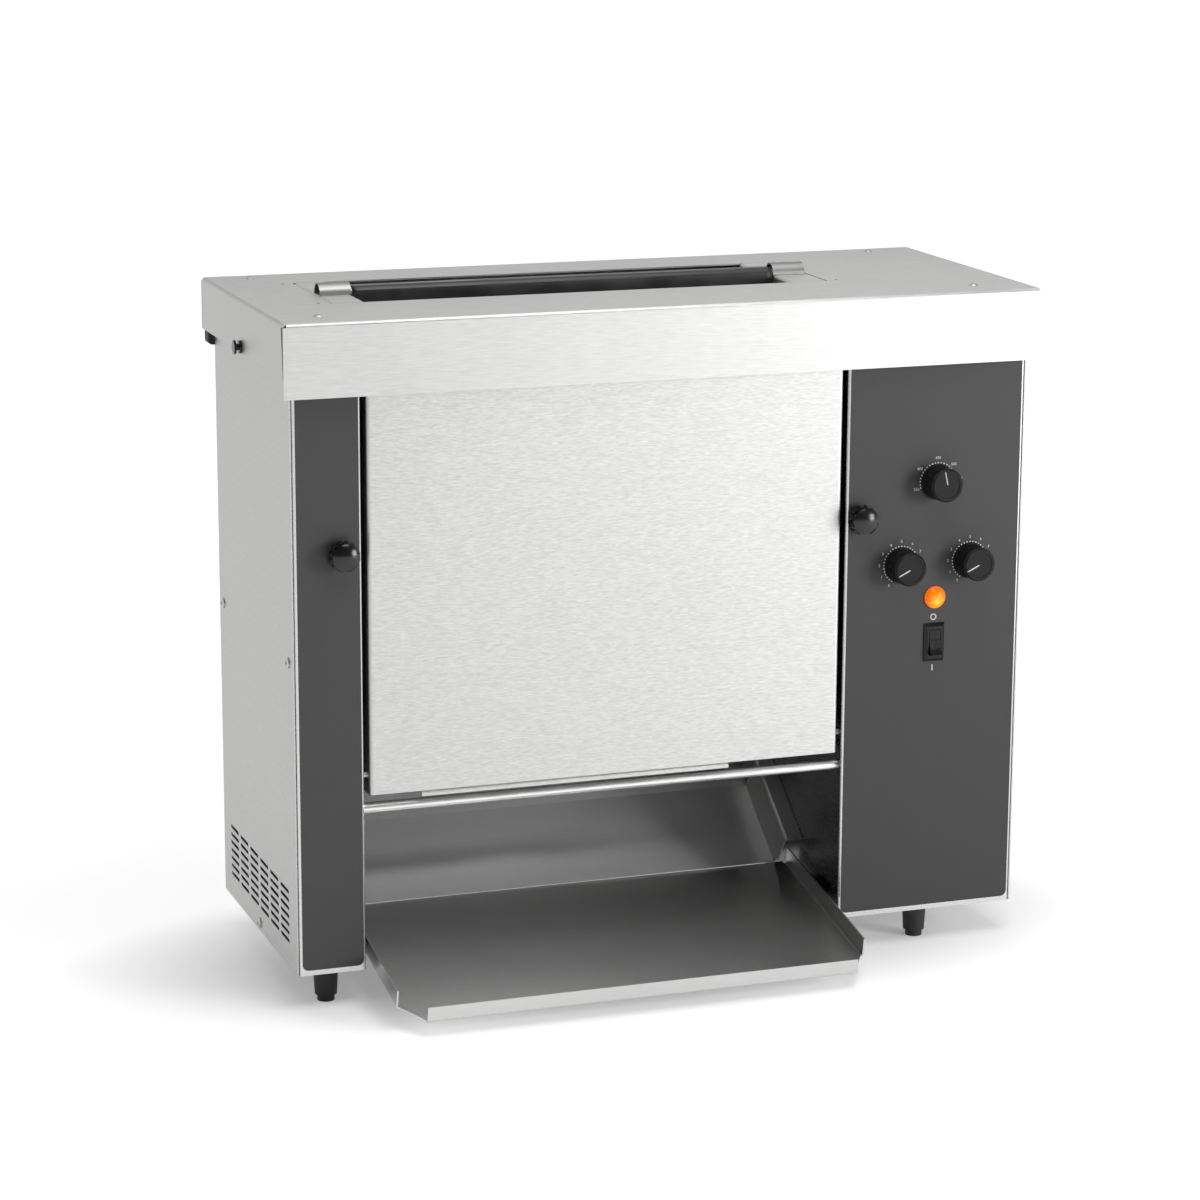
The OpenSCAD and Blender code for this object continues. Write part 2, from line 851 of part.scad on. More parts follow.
module base_pan() {
    inner_l = frame_l + sheet_t;
    inner_r = frame_r - sheet_t;
    edge = bend_r - sheet_t;
    y = [panel_back + edge, frame_back - edge];
    flange_y = [body_front + return_d + seam, body_back - return_d - seam];
    color(steel)
        difference() {
            union() {
                slab([inner_l, wall_l], y, [foot_h, base_top]);
                slab([wall_r, inner_r], y, [foot_h, base_top]);
                slab([inner_l, inner_r], [body_back - base_strip, y[1]], [foot_h, base_top]);
                both_sides()
                    slab([frame_l, inner_l + sheet_t], flange_y, [foot_h, base_top]);
                both_sides()
                    slab([frame_l, inner_l], flange_y, [foot_h, foot_h + base_flange]);
            }
            for (x = [left_foot_x, right_foot_x])
                for (at = foot_y)
                    bar_z(foot_stud_d, [foot_h - cut, base_top + cut], x, at);
            both_sides()
                bar_x(screw_d, [frame_l - cut, inner_l + cut], side_screws[2][0], side_screws[2][1]);
        }
}

module panel_screws() {
    dome = 0.9 * screw_head_d;
    color(alloy)
        both_sides()
            for (at = side_screws)
                translate([body_l, at[0], at[1]])
                    rotate([0, -90, 0]) {
                        difference() {
                            intersection() {
                                cylinder(d = screw_head_d, h = screw_head_h);
                                translate([0, 0, screw_head_h - dome])
                                    sphere(r = dome);
                            }
                            for (a = [0, 90])
                                rotate(a)
                                    translate([-screw_head_d / 4, -0.5, screw_head_h - 1])
                                        cube([screw_head_d / 2, 1, 2]);
                        }
                        translate([0, 0, -screw_l])
                            cylinder(d = screw_d, h = screw_l);
                    }
}

module left_slot_plate() {
    color(steel)
        difference() {
            sweep_y([slot_front + seam, slot_back - seam])
                polygon(folded([
                    [slot_l, hood_top - plate_leg],
                    [slot_l, hood_top],
                    [cavity_l, hood_top],
                    [cavity_l, hood_top - plate_leg]
                ]));
            bar_x(bush_d, [cavity_l - cut, slot_l + cut], rear_y, idler_z);
        }
}

module right_slot_plate() {
    color(steel) {
        sweep_y([slot_front + seam, slot_back - seam])
            polygon(folded([
                [cavity_r, hood_top - plate_leg],
                [cavity_r, hood_top],
                [slot_r, hood_top],
                [slot_r, hood_top - plate_leg]
            ]));
        slab([cavity_r - bend_r, cavity_r + right_plate_over], [slot_front + seam, slot_back - seam],
            [hood_top - sheet_t, hood_top]);
    }
}

// Round-topped end cap of the bar between two limits on x
module bar_cap(x) {
    over = [x[0] - cut, x[1] + cut];
    half = cap_w / 2;
    difference() {
        union() {
            bar_x(cap_w, x, platen_y, cap_crown);
            slab(x, [platen_y - half, platen_y + half], [bar_z - cap_w, cap_crown]);
        }
        bar_x(cap_w - 2 * bar_t, over, platen_y, cap_crown);
        slab(over, [platen_y - half + bar_t, platen_y + half - bar_t], [bar_z - 2 * cap_w, cap_crown]);
        slab(over, [platen_y - cap_w, platen_y + cap_w], [bar_z - 2 * cap_w, bar_z]);
    }
}

module release_bar() {
    weld = 3;
    color(steel) {
        sweep_x([slot_l - slip - weld, slot_r + slip + weld])
            polygon(folded([
                [platen_y + bar_w / 2, bar_z],
                [platen_y + bar_w / 2, bar_top],
                [platen_y - bar_w / 2, bar_top],
                [platen_y - bar_w / 2, bar_z]
            ], bar_t, bar_round));
        bar_cap([opening_l + bar_in, slot_l - slip]);
        bar_cap([slot_r + slip, opening_r - bar_in]);
    }
}

module release_sheet() {
    shoulder = platen_top - platen_taper / 2;
    color(black)
        sweep_x([slot_l + release_in, slot_r - release_in])
            polygon(folded([
                [platen_y + sheet_half, sheet_low],
                [platen_y + sheet_half, shoulder],
                [platen_y + bar_half, hood_top - sheet_t],
                [platen_y + bar_half, bar_top + release_t],
                [platen_y - bar_half, bar_top + release_t],
                [platen_y - bar_half, hood_top - sheet_t],
                [platen_y - sheet_half, shoulder],
                [platen_y - sheet_half, sheet_low]
            ], release_t, bar_round + release_t));
}

function heater_z(i) = platen_z + heater_pitch * (i + 0.8);

module platen() {
    color(alloy)
        difference() {
            sweep_x([platen_l, platen_r])
                polygon([
                    [platen_y - platen_t / 2, platen_z],
                    [platen_y + platen_t / 2, platen_z],
                    [platen_y + platen_t / 2, platen_top - platen_taper],
                    [platen_y + platen_tip, platen_top],
                    [platen_y - platen_tip, platen_top],
                    [platen_y - platen_t / 2, platen_top - platen_taper]
                ]);
            for (i = [0:heater_n - 1])
                bar_x(heater_d + 2 * run, [platen_l + platen_t, platen_r + cut], platen_y, heater_z(i));
        }
}

module heating_elements() {
    sleeve = wall_r + 6;
    color(alloy)
        for (i = [0:heater_n - 1]) {
            bar_x(heater_d, [platen_l + platen_t + cut, sleeve], platen_y, heater_z(i));
            bar_x(heater_d / 2, [sleeve, sleeve + 10], platen_y, heater_z(i));
        }
}

module platen_studs() {
    color(alloy)
        for (z = [heater_z(0) - heater_pitch / 2, heater_z(heater_n - 1) + heater_pitch / 2]) {
            bar_x(stud_d, [cavity_l, platen_l], platen_y, z);
            bar_x(stud_d, [platen_r, cavity_r], platen_y, z);
        }
}

module limit_thermostat() {
    at_z = (heater_z(0) + heater_z(1)) / 2;
    color(dark) {
        bar_x(platen_t - 4, [platen_r, platen_r + 6], platen_y, at_z);
        for (s = [-1, 1])
            slab([platen_r + 5, platen_r + 13], [platen_y + 4 * s - 0.4, platen_y + 4 * s + 0.4],
                [at_z - 3, at_z + 3]);
    }
}

// Cleated belt loop around two rollers at depth y
module belt(y) {
    x = [roller_l + belt_in, roller_r - belt_in];
    pitch = (idler_z - drive_z) / cleat_n;
    difference() {
        union() {
            bar_x(2 * belt_r1, x, y, drive_z);
            bar_x(2 * belt_r1, x, y, idler_z);
            slab(x, [y - belt_r1, y + belt_r1], [drive_z, idler_z]);
            for (i = [0:cleat_n])
                slab(x, [y - loop_r, y + loop_r],
                    [drive_z + i * pitch - cleat_t / 2, drive_z + i * pitch + cleat_t / 2]);
            for (end = [[drive_z, -90], [idler_z, 90]])
                for (a = [-60:30:60])
                    translate([0, y, end[0]])
                        rotate([end[1] + a, 0, 0])
                            slab(x, [belt_r0, loop_r], [-cleat_t / 2, cleat_t / 2]);
        }
        bar_x(2 * belt_r0, [x[0] - cut, x[1] + cut], y, drive_z);
        bar_x(2 * belt_r0, [x[0] - cut, x[1] + cut], y, idler_z);
        slab([x[0] - cut, x[1] + cut], [y - belt_r0, y + belt_r0], [drive_z, idler_z]);
    }
}

module front_belt() {
    color(dark)
        belt(front_y);
}

module rear_belt() {
    color(dark)
        belt(rear_y);
}

// Roller on its shaft, with grooves that keep the belt from slipping
module roller(y, z, right_end) {
    groove = 3;
    bar_x(shaft_d, [wall_l - shaft_over, right_end], y, z);
    translate([roller_l, y, z])
        rotate([0, 90, 0])
            linear_extrude(roller_r - roller_l)
                difference() {
                    circle(d = roller_d);
                    for (a = [0:30:330])
                        rotate(a)
                            translate([roller_d / 2 + groove / 4, 0])
                                circle(d = groove);
                }
}

module front_drive_roller() {
    color(alloy)
        roller(front_y, drive_z, wall_r + gearbox_l - 4);
}

module rear_drive_roller() {
    color(alloy)
        roller(rear_y, drive_z, wall_r + gearbox_l - 4);
}

module front_idler_roller() {
    color(alloy)
        roller(front_y, idler_z, wall_r + shaft_over);
}

module rear_idler_roller() {
    color(alloy)
        roller(rear_y, idler_z, wall_r + shaft_over);
}

module shaft_bushes() {
    color(brass)
        for (y = [front_y, rear_y])
            for (z = [drive_z, idler_z])
                difference() {
                    union() {
                        bar_x(bush_d, [wall_l, cavity_l], y, z);
                        bar_x(bush_d + 6, [cavity_l, cavity_l + bush_flange], y, z);
                        bar_x(bush_d, [cavity_r, wall_r], y, z);
                        bar_x(bush_d + 6, [cavity_r - bush_flange, cavity_r], y, z);
                    }
                    bar_x(shaft_d + 2 * run, [wall_l - cut, wall_r + cut], y, z);
                }
}

// Hollow-shaft gearmotor bolted to the right inner wall at depth y
module gearmotor(y) {
    half = gearbox_w / 2;
    end = wall_r + gearbox_l;
    corner = half - 6;
    difference() {
        union() {
            slab([wall_r, end], [y - half, y + half], [drive_z - half, drive_z + half]);
            bar_x(motor_d, [end, end + motor_l], y, drive_z);
            bar_x(motor_d - 8, [end + motor_l, end + motor_l + 4], y, drive_z);
            for (s = [-1, 1])
                for (r = [-1, 1])
                    bar_x(7, [end, end + 3], y + s * corner, drive_z + r * corner);
        }
        bar_x(shaft_d + 2 * run, [wall_r - cut, end - 2], y, drive_z);
        slab([wall_r + 10, wall_r + 12], [y - half - cut, y + half + cut], [drive_z + half - 1, drive_z + half + cut]);
        slab([wall_r + 10, wall_r + 12], [y - half - cut, y + half + cut], [drive_z - half - cut, drive_z - half + 1]);
    }
}

module front_gearmotor() {
    color(alloy)
        gearmotor(front_y);
}

module rear_gearmotor() {
    color(alloy)
        gearmotor(rear_y);
}

module front_cover() {
    back = body_front + cover_d;
    inner = [cover_l + sheet_t, cover_r - sheet_t];
    color(steel)
        difference() {
            union() {
                translate([0, 0, cover_z])
                    linear_extrude(cover_top - cover_z)
                        polygon(folded([
                            [cover_l, back],
                            [cover_l, body_front],
                            [cover_r, body_front],
                            [cover_r, back]
                        ]));
                slab(inner, [body_front + sheet_t, back], [cover_z, cover_z + sheet_t]);
                slab(inner, [body_front + sheet_t, back], [cover_top - sheet_t, cover_top]);
            }
            bar_x(pin_d + 2 * run, [cover_l - cut, cover_l + sheet_t + cut], pin_y, pin_z);
            bar_x(pin_d + 2 * run, [cover_r - sheet_t - cut, cover_r + cut], pin_y, pin_z);
        }
}

module cover_lip() {
    front = body_front + sheet_t;
    x = [cover_l + lip_in_left, cover_r - lip_in_right];
    color(steel)
        difference() {
            sweep_x(x)
                polygon(folded([
                    [body_front + cover_d - 2, cover_z],
                    [front, cover_z],
                    [front, cover_z - lip_drop]
                ]));
            translate([x[1], front - cut, cover_z - lip_drop / 2])
                rotate([0, 45, 0])
                    cube([2 * lip_drop, 2 * sheet_t + 2 * cut, 2 * lip_drop]);
        }
}

module cover_pins() {
    reach = cover_gap + sheet_t + 3;
    color(alloy) {
        bar_x(pin_d, [wall_l, cavity_l + reach], pin_y, pin_z);
        bar_x(pin_d, [cavity_r - reach, wall_r], pin_y, pin_z);
    }
}

module guard_rod() {
    color(steel)
        bar_x(rod_d, [wall_l, wall_r], rod_y, rod_z);
}

// Lay children on the chute's lower run, +y pointing up the slope
module on_chute() {
    translate([0, chute_y, chute_z])
        rotate([chute_slope, 0, 0])
            children();
}

// Two-slope floor; the sides of its lower run turn up and then out to the walls
module discharge_chute() {
    top = chute_run / cos(chute_slope) - cut;
    foot = 6;
    nose = -4;
    color(steel) {
        sweep_x([chute_l, chute_r])
            polygon(folded([
                [chute_end_y, chute_end_z + chute_flange],
                [chute_end_y, chute_end_z],
                [chute_bend_y, chute_bend_z],
                [chute_y, chute_z]
            ]));
        on_chute() {
            for (x = [chute_l, chute_r - sheet_t])
                slab([x, x + sheet_t], [0, top], [-sheet_t, foot + cut]);
            sweep_y([nose, top])
                polygon(folded([
                    [cavity_l + slip, chute_wall],
                    [chute_l, chute_wall],
                    [chute_l, foot]
                ]));
            sweep_y([nose, top])
                polygon(folded([
                    [chute_r, foot],
                    [chute_r, chute_wall],
                    [cavity_r - slip, chute_wall]
                ]));
        }
    }
}

module discharge_tray() {
    cut_l = tray_l + tray_cut_x;
    cut_r = tray_r - tray_cut_x;
    color(steel)
        on_slope() {
            sweep_x([cut_l, cut_r])
                polygon(folded([[0, tray_lip], [0, 0], [tray_cut_y, 0]]));
            linear_extrude(sheet_t)
                polygon([
                    [cut_l, bend_r], [cut_r, bend_r], [tray_r - bend_r, tray_cut_y],
                    [tray_r - bend_r, tray_len], [tray_l + bend_r, tray_len], [tray_l + bend_r, tray_cut_y]
                ]);
            sweep_y([tray_cut_y, tray_flange_end])
                polygon(folded([
                    [tray_l, tray_flange],
                    [tray_l, 0],
                    [tray_r, 0],
                    [tray_r, tray_flange]
                ]));
        }
}

module tray_ledges() {
    y = [tray_flange_end - ledge_l - 20, tray_flange_end - 20];
    leg = 8;
    color(steel)
        on_slope()
            translate([0, 0, -rest]) {
                slab([cavity_l, cavity_l + ledge_w], y, [-sheet_t, 0]);
                slab([cavity_l, cavity_l + sheet_t], y, [-leg, 0]);
                slab([cavity_r - ledge_w, cavity_r], y, [-sheet_t, 0]);
                slab([cavity_r - sheet_t, cavity_r], y, [-leg, 0]);
            }
}

// Ribbed dial knob on its spindle, its pointer groove turned to the rest angle
module dial_knob(at, angle) {
    skirt = 2.6;
    face_rise = 1.4;
    ribs = 36;
    on_front(at, overlay_face - rest)
        rotate(-angle)
            difference() {
                union() {
                    cylinder(d1 = dial_d, d2 = dial_d - 1, h = skirt);
                    translate([0, 0, skirt])
                        linear_extrude(dial_h - skirt - face_rise)
                            difference() {
                                circle(d = dial_face_d + 1);
                                for (i = [0:ribs - 1])
                                    rotate(360 * i / ribs)
                                        translate([dial_face_d / 2 + 0.7, 0])
                                            circle(d = 1.1);
                            }
                    translate([0, 0, dial_h - face_rise])
                        cylinder(d1 = dial_face_d, d2 = dial_face_d - 2, h = face_rise);
                    translate([0, 0, overlay_face - rest - panel_back - dial_body_l])
                        cylinder(d = spindle_d, h = dial_body_l + panel_back - overlay_face + 2 * rest);
                }
                translate([0, 0, dial_h - 0.5])
                    cylinder(d = dial_face_d - 5, h = 1);
                translate([-0.6, 0.5, dial_h - 0.9])
                    cube([1.2, dial_face_d / 2, 2]);
            }
}

module temperature_knob() {
    color(black)
        dial_knob(temperature_at, temperature_rest);
}

module front_speed_knob() {
    color(black)
        dial_knob(front_speed_at, speed_rest);
}

module rear_speed_knob() {
    color(black)
        dial_knob(rear_speed_at, speed_rest);
}

module dial_bodies() {
    color(alloy)
        for (at = dial_at)
            difference() {
                union() {
                    bar_y(dial_bush_d, [overlay_face + rest, panel_back], at[0], at[1]);
                    bar_y(dial_body_d, [panel_back, panel_back + dial_body_l + 2], at[0], at[1]);
                    for (dx = [-5, 0, 5])
                        slab([at[0] + dx - 0.6, at[0] + dx + 0.6], [panel_back + 4, panel_back + 5],
                            [at[1] - dial_body_d / 2 - 5, at[1] - dial_body_d / 4]);
                }
                bar_y(spindle_d + 2 * run, [overlay_face - cut, panel_back + dial_body_l + slip], at[0], at[1]);
            }
}

module lamp_lens() {
    rim = 1.2;
    dome = 0.62 * lens_d;
    color([1, 0.6, 0.05])
        on_front(lamp_at, overlay_face) {
            cylinder(d = lens_d, h = rim);
            translate([0, 0, rim])
                intersection() {
                    cylinder(d = lens_d - 1.4, h = lens_d / 2);
                    translate([0, 0, 4.4 - dome])
                        sphere(r = dome);
                }
        }
}

module lamp_body() {
    color(dark) {
        bar_y(lens_body_d, [overlay_face, panel_back + 22], lamp_at[0], lamp_at[1]);
        bar_y(lens_body_d + 4, [panel_back, panel_back + 3], lamp_at[0], lamp_at[1]);
        for (s = [-1, 1])
            slab([lamp_at[0] + 3 * s - 0.4, lamp_at[0] + 3 * s + 0.4], [panel_back + 20, panel_back + 30],
                [lamp_at[1] - 2.4, lamp_at[1] + 2.4]);
    }
}

// Outline of a raised frame with sloping sides, across its width or height
function bevel(mid, size) =
    let (chamfer = 2.2, edge = 0.8)
    [
        [mid - size / 2, overlay_face],
        [mid - size / 2, overlay_face - edge],
        [mid - size / 2 + chamfer, overlay_face - bezel_out],
        [mid + size / 2 - chamfer, overlay_face - bezel_out],
        [mid + size / 2, overlay_face - edge],
        [mid + size / 2, overlay_face]
    ];

// Round-cornered window around the rocker, in (x, z)
function switch_window(r = 1) =
    let (w = rocker_w / 2 + slip - r, h = rocker_l / 2 + slip - r, x = switch_at[0], z = switch_at[1])
    concat(
        arc([x + w, z + h], r, 0, 90), arc([x - w, z + h], r, 90, 180),
        arc([x - w, z - h], r, 180, 270), arc([x + w, z - h], r, 270, 360)
    );

module switch_frame() {
    color(black)
        difference() {
            union() {
                intersection() {
                    translate([0, 0, switch_at[1] - bezel_h / 2])
                        linear_extrude(bezel_h)
                            polygon(bevel(switch_at[0], bezel_w));
                    sweep_x([switch_at[0] - bezel_w / 2, switch_at[0] + bezel_w / 2])
                        polygon([for (p = bevel(switch_at[1], bezel_h)) [p[1], p[0]]]);
                }
                slab([switch_at[0] - switch_body_w / 2, switch_at[0] + switch_body_w / 2],
                    [overlay_face, panel_back + switch_body_d],
                    [switch_at[1] - switch_body_h / 2, switch_at[1] + switch_body_h / 2]);
                for (dz = [-8, 0, 8])
                    slab([switch_at[0] - 3.2, switch_at[0] + 3.2],
                        [panel_back + switch_body_d, panel_back + switch_body_d + 8],
                        [switch_at[1] + dz - 0.4, switch_at[1] + dz + 0.4]);
            }
            sweep_y([overlay_face - bezel_out - cut, panel_back + 12])
                polygon(switch_window());
        }
}

// Rocker with a ridge across its middle and a hollowed face above and below
module switch_rocker() {
    r = rocker_l / 2;
    crest = 0.5;
    proud = crest + r * tan(rocker_throw / 2);
    sag = 0.8;
    chord = norm([r, proud - crest]);
    scoop = chord * chord / (8 * sag) + sag / 2;
    mid = [-(crest + proud) / 2, r / 2] + (scoop - sag) * [-r, -(proud - crest)] / chord;
    color(black)
        translate([switch_at[0], overlay_face - bezel_out, switch_at[1]])
            rotate([-rocker_throw / 2, 0, 0])
                difference() {
                    intersection() {
                        bar_x(rocker_l, [-rocker_w / 2, rocker_w / 2], 0, 0);
                        sweep_x([-rocker_w / 2, rocker_w / 2])
                            polygon([
                                [-crest, 0],
                                [-proud, -r],
                                [r, -r],
                                [r, r],
                                [-proud, r]
                            ]);
                    }
                    for (z = [-mid[1], mid[1]])
                        bar_x(2 * scoop, [-rocker_w / 2 - cut, rocker_w / 2 + cut], mid[0], z);
                }
}

// Clamp knob with a fluted rim and a smooth domed face, on its stud
module clamp_knob(x) {
    hub = 4;
    dome = 0.8 * clamp_d;
    rim = 0.5 * (clamp_h - hub);
    on_front([x, clamp_z], overlay_face - rest) {
        cylinder(d = 0.6 * clamp_d, h = hub);
        translate([0, 0, hub]) {
            linear_extrude(rim)
                difference() {
                    circle(d = clamp_d);
                    for (i = [0:clamp_flutes - 1])
                        rotate(360 * i / clamp_flutes)
                            translate([clamp_d / 2 + 0.8, 0])
                                circle(d = 3.8);
                }
            intersection() {
                cylinder(d = clamp_d - 2.2, h = clamp_h - hub);
                translate([0, 0, clamp_h - hub - dome])
                    sphere(r = dome);
            }
        }
        translate([0, 0, overlay_face - rest - panel_back - clamp_reach])
            cylinder(d = clamp_stud_d, h = clamp_reach + panel_back - overlay_face + 2 * rest);
        translate([0, 0, overlay_face - panel_back - 2 * rest - clamp_nut_w / 2])
            cylinder(d = clamp_nut_w, h = clamp_nut_w / 2, $fn = 6);
    }
}

module left_clamp_knob() {
    color(black)
        clamp_knob(clamp_left_x);
}

module right_clamp_knob() {
    color(black)
        clamp_knob(clamp_right_x);
}

module feet() {
    color(black)
        for (x = [left_foot_x, right_foot_x])
            for (y = foot_y)
                translate([x, y, 0]) {
                    cylinder(d = foot_tip_d, h = foot_step);
                    translate([0, 0, foot_step])
                        cylinder(d1 = foot_low_d, d2 = foot_top_d, h = foot_h - foot_step);
                    translate([0, 0, foot_h])
                        cylinder(d = foot_stud_d, h = 8);
                }
}

module rear_pads() {
    low = hood_top - hood_side_drop - pad_drop;
    top = hood_top - sheet_t - bend_r;
    outer = hood_l + sheet_t + slip;
    round = pad_w / 6;
    color(black)
        both_sides()
            sweep_y([body_back, hood_back - sheet_t - slip])
                polygon(concat(
                    [[outer + pad_w, top], [outer, top]],
                    arc([outer + round, low + round], round, 180, 270),
                    arc([outer + pad_w - round, low + round], round, 270, 360)
                ));
}

module speed_board() {
    x = wall_r + board_off;
    face = x + board_off / 5;
    y0 = frame_back - board_back - board_d;
    z0 = drive_z + gearbox_w / 2 + board_gap;
    pillar = 0.75 * board_off;
    sink_y = y0 + board_d / 6;
    sink_d = 0.38 * board_d;
    sink_z = [z0 + board_h / 8, z0 + 0.58 * board_h];
    fin = sink_d / 13;
    color([0.1, 0.35, 0.18]) {
        slab([x, face], [y0, y0 + board_d], [z0, z0 + board_h]);
        for (y = [y0 + pillar, y0 + board_d - pillar])
            for (z = [z0 + pillar, z0 + board_h - pillar])
                bar_x(pillar, [wall_r, x], y, z);
        slab([face, face + fin], [sink_y, sink_y + sink_d], sink_z);
        for (i = [0:5])
            slab([face, face + sink_d * 0.75], [sink_y + 2.4 * i * fin, sink_y + (2.4 * i + 1) * fin], sink_z);
        for (z = [z0 + 0.22 * board_h, z0 + 0.46 * board_h])
            bar_x(board_d / 4, [face, face + 0.4 * board_d], y0 + 0.78 * board_d, z);
        slab([face, face + board_d / 6], [y0 + board_d / 7, y0 + 6 * board_d / 7],
            [z0 + 0.78 * board_h, z0 + 0.89 * board_h]);
    }
}

module temperature_controller() {
    x = [wall_r, wall_r + controller_w];
    y = [body_y - controller_d / 2, body_y + controller_d / 2];
    z = [heater_z(heater_n - 1) + heater_d, heater_z(heater_n - 1) + heater_d + controller_h];
    color(dark) {
        slab(x, y, z);
        slab([x[1], x[1] + 8], [y[0] + 8, y[1] - 8], [z[0] + 6, z[0] + 20]);
        for (i = [0:4])
            bar_x(5, [x[1] + 8, x[1] + 9.5], y[0] + 16 + i * (controller_d - 32) / 4, z[0] + 13);
        for (s = [y[0] - 8, y[1]])
            slab([wall_r, wall_r + 2], [s, s + 8], [z[0] + 10, z[1] - 10]);
    }
}

module terminal_block() {
    x = right_foot_x - terminal_n * terminal_w / 2;
    y = body_y - terminal_d / 2;
    rib = terminal_w / 11;
    color([0.85, 0.84, 0.8])
        for (i = [0:terminal_n - 1])
            translate([x + i * terminal_w, y, base_top])
                difference() {
                    slab([0, terminal_w], [0, terminal_d], [0, terminal_h]);
                    for (at = [terminal_d / 4, 3 * terminal_d / 4])
                        bar_z(terminal_d / 4, [0.55 * terminal_h, terminal_h + cut], terminal_w / 2, at);
                    slab([terminal_w - rib, terminal_w + cut], [-cut, terminal_d + cut],
                        [2 * terminal_h / 3, terminal_h + cut]);
                }
}

// Frame with corner holes, a spoked carrier and the axle pin
module fan_frame() {
    y = [frame_back - fan_d, frame_back];
    half = fan_w / 2;
    hole = half - 4.5;
    spoke = 3;
    color(black) {
        difference() {
            slab([fan_x - half, fan_x + half], y, [fan_z - half, fan_z + half]);
            bar_y(fan_w - 5, [y[0] - cut, y[1] + cut], fan_x, fan_z);
            for (sx = [-hole, hole])
                for (sz = [-hole, hole])
                    bar_y(4.3, [y[0] - cut, y[1] + cut], fan_x + sx, fan_z + sz);
        }
        for (a = [45, 135])
            translate([fan_x, y[0] + spoke / 2, fan_z])
                rotate([0, a, 0])
                    cube([fan_w - 4, spoke, 5], center = true);
        bar_y(34, [y[0], y[0] + spoke], fan_x, fan_z);
        bar_y(4, [y[0], y[1] - 2], fan_x, fan_z);
    }
}

module fan_rotor() {
    y = [frame_back - fan_d + 4, frame_back - 3];
    pitch = 38;
    color(dark)
        difference() {
            union() {
                bar_y(32, y, fan_x, fan_z);
                intersection() {
                    bar_y(fan_w - 8, [y[0] + 1, y[1] - 1], fan_x, fan_z);
                    translate([fan_x, (y[0] + y[1]) / 2, fan_z])
                        for (i = [0:fan_blades - 1])
                            rotate([0, 360 * i / fan_blades, 0])
                                rotate([pitch, 0, 0])
                                    translate([12, -0.8, -11])
                                        cube([fan_w / 2, 1.6, 22]);
                }
            }
            bar_y(4 + 2 * run, [y[0] - cut, y[1] + cut], fan_x, fan_z);
        }
}

module cord_gland() {
    thread = gland_bore + 6;
    color(black)
        difference() {
            union() {
                bar_y(thread + 6, [body_back, body_back + 5], gland_x, gland_z);
                bar_y(thread + 2, [body_back + 5, body_back + 11], gland_x, gland_z);
                bar_y(thread, [frame_back - 10, body_back], gland_x, gland_z);
                translate([gland_x, frame_back, gland_z])
                    rotate([90, 0, 0])
                        cylinder(d = thread + 9, h = 5, $fn = 6);
            }
            bar_y(gland_bore, [frame_back - 10 - cut, body_back + 11 + cut], gland_x, gland_z);
        }
}

hood();
hood_rivets();
left_thumbscrew();
right_thumbscrew();
left_pillar();
control_housing();
left_overlay();
control_overlay();
left_side_panel();
right_side_panel();
rear_panel();
base_pan();
panel_screws();
left_slot_plate();
right_slot_plate();
release_bar();
release_sheet();
platen();
heating_elements();
platen_studs();
limit_thermostat();
front_belt();
rear_belt();
front_drive_roller();
rear_drive_roller();
front_idler_roller();
rear_idler_roller();
shaft_bushes();
front_gearmotor();
rear_gearmotor();
front_cover();
cover_lip();
cover_pins();
guard_rod();
discharge_chute();
discharge_tray();
tray_ledges();
temperature_knob();
front_speed_knob();
rear_speed_knob();
dial_bodies();
lamp_lens();
lamp_body();
switch_frame();
switch_rocker();
left_clamp_knob();
right_clamp_knob();
feet();
rear_pads();
speed_board();
temperature_controller();
terminal_block();
fan_frame();
fan_rotor();
cord_gland();
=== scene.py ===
import math

import bmesh
import bpy
from mathutils import Matrix, Vector


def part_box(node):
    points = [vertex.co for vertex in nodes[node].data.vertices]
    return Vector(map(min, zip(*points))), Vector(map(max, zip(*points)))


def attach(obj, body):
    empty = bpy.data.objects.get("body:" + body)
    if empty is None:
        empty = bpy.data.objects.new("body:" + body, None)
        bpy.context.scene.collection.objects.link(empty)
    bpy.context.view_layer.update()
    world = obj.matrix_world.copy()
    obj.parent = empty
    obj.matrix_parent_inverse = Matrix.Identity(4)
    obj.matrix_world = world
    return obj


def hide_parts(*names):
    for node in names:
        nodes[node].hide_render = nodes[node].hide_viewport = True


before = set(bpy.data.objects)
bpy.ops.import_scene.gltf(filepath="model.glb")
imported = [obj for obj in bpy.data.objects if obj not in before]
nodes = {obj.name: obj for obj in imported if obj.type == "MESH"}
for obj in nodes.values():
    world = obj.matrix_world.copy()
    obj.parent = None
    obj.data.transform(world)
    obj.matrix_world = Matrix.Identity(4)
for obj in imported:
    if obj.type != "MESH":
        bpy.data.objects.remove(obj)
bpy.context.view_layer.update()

WHITE = (1, 1, 1, 1)


# Node wiring

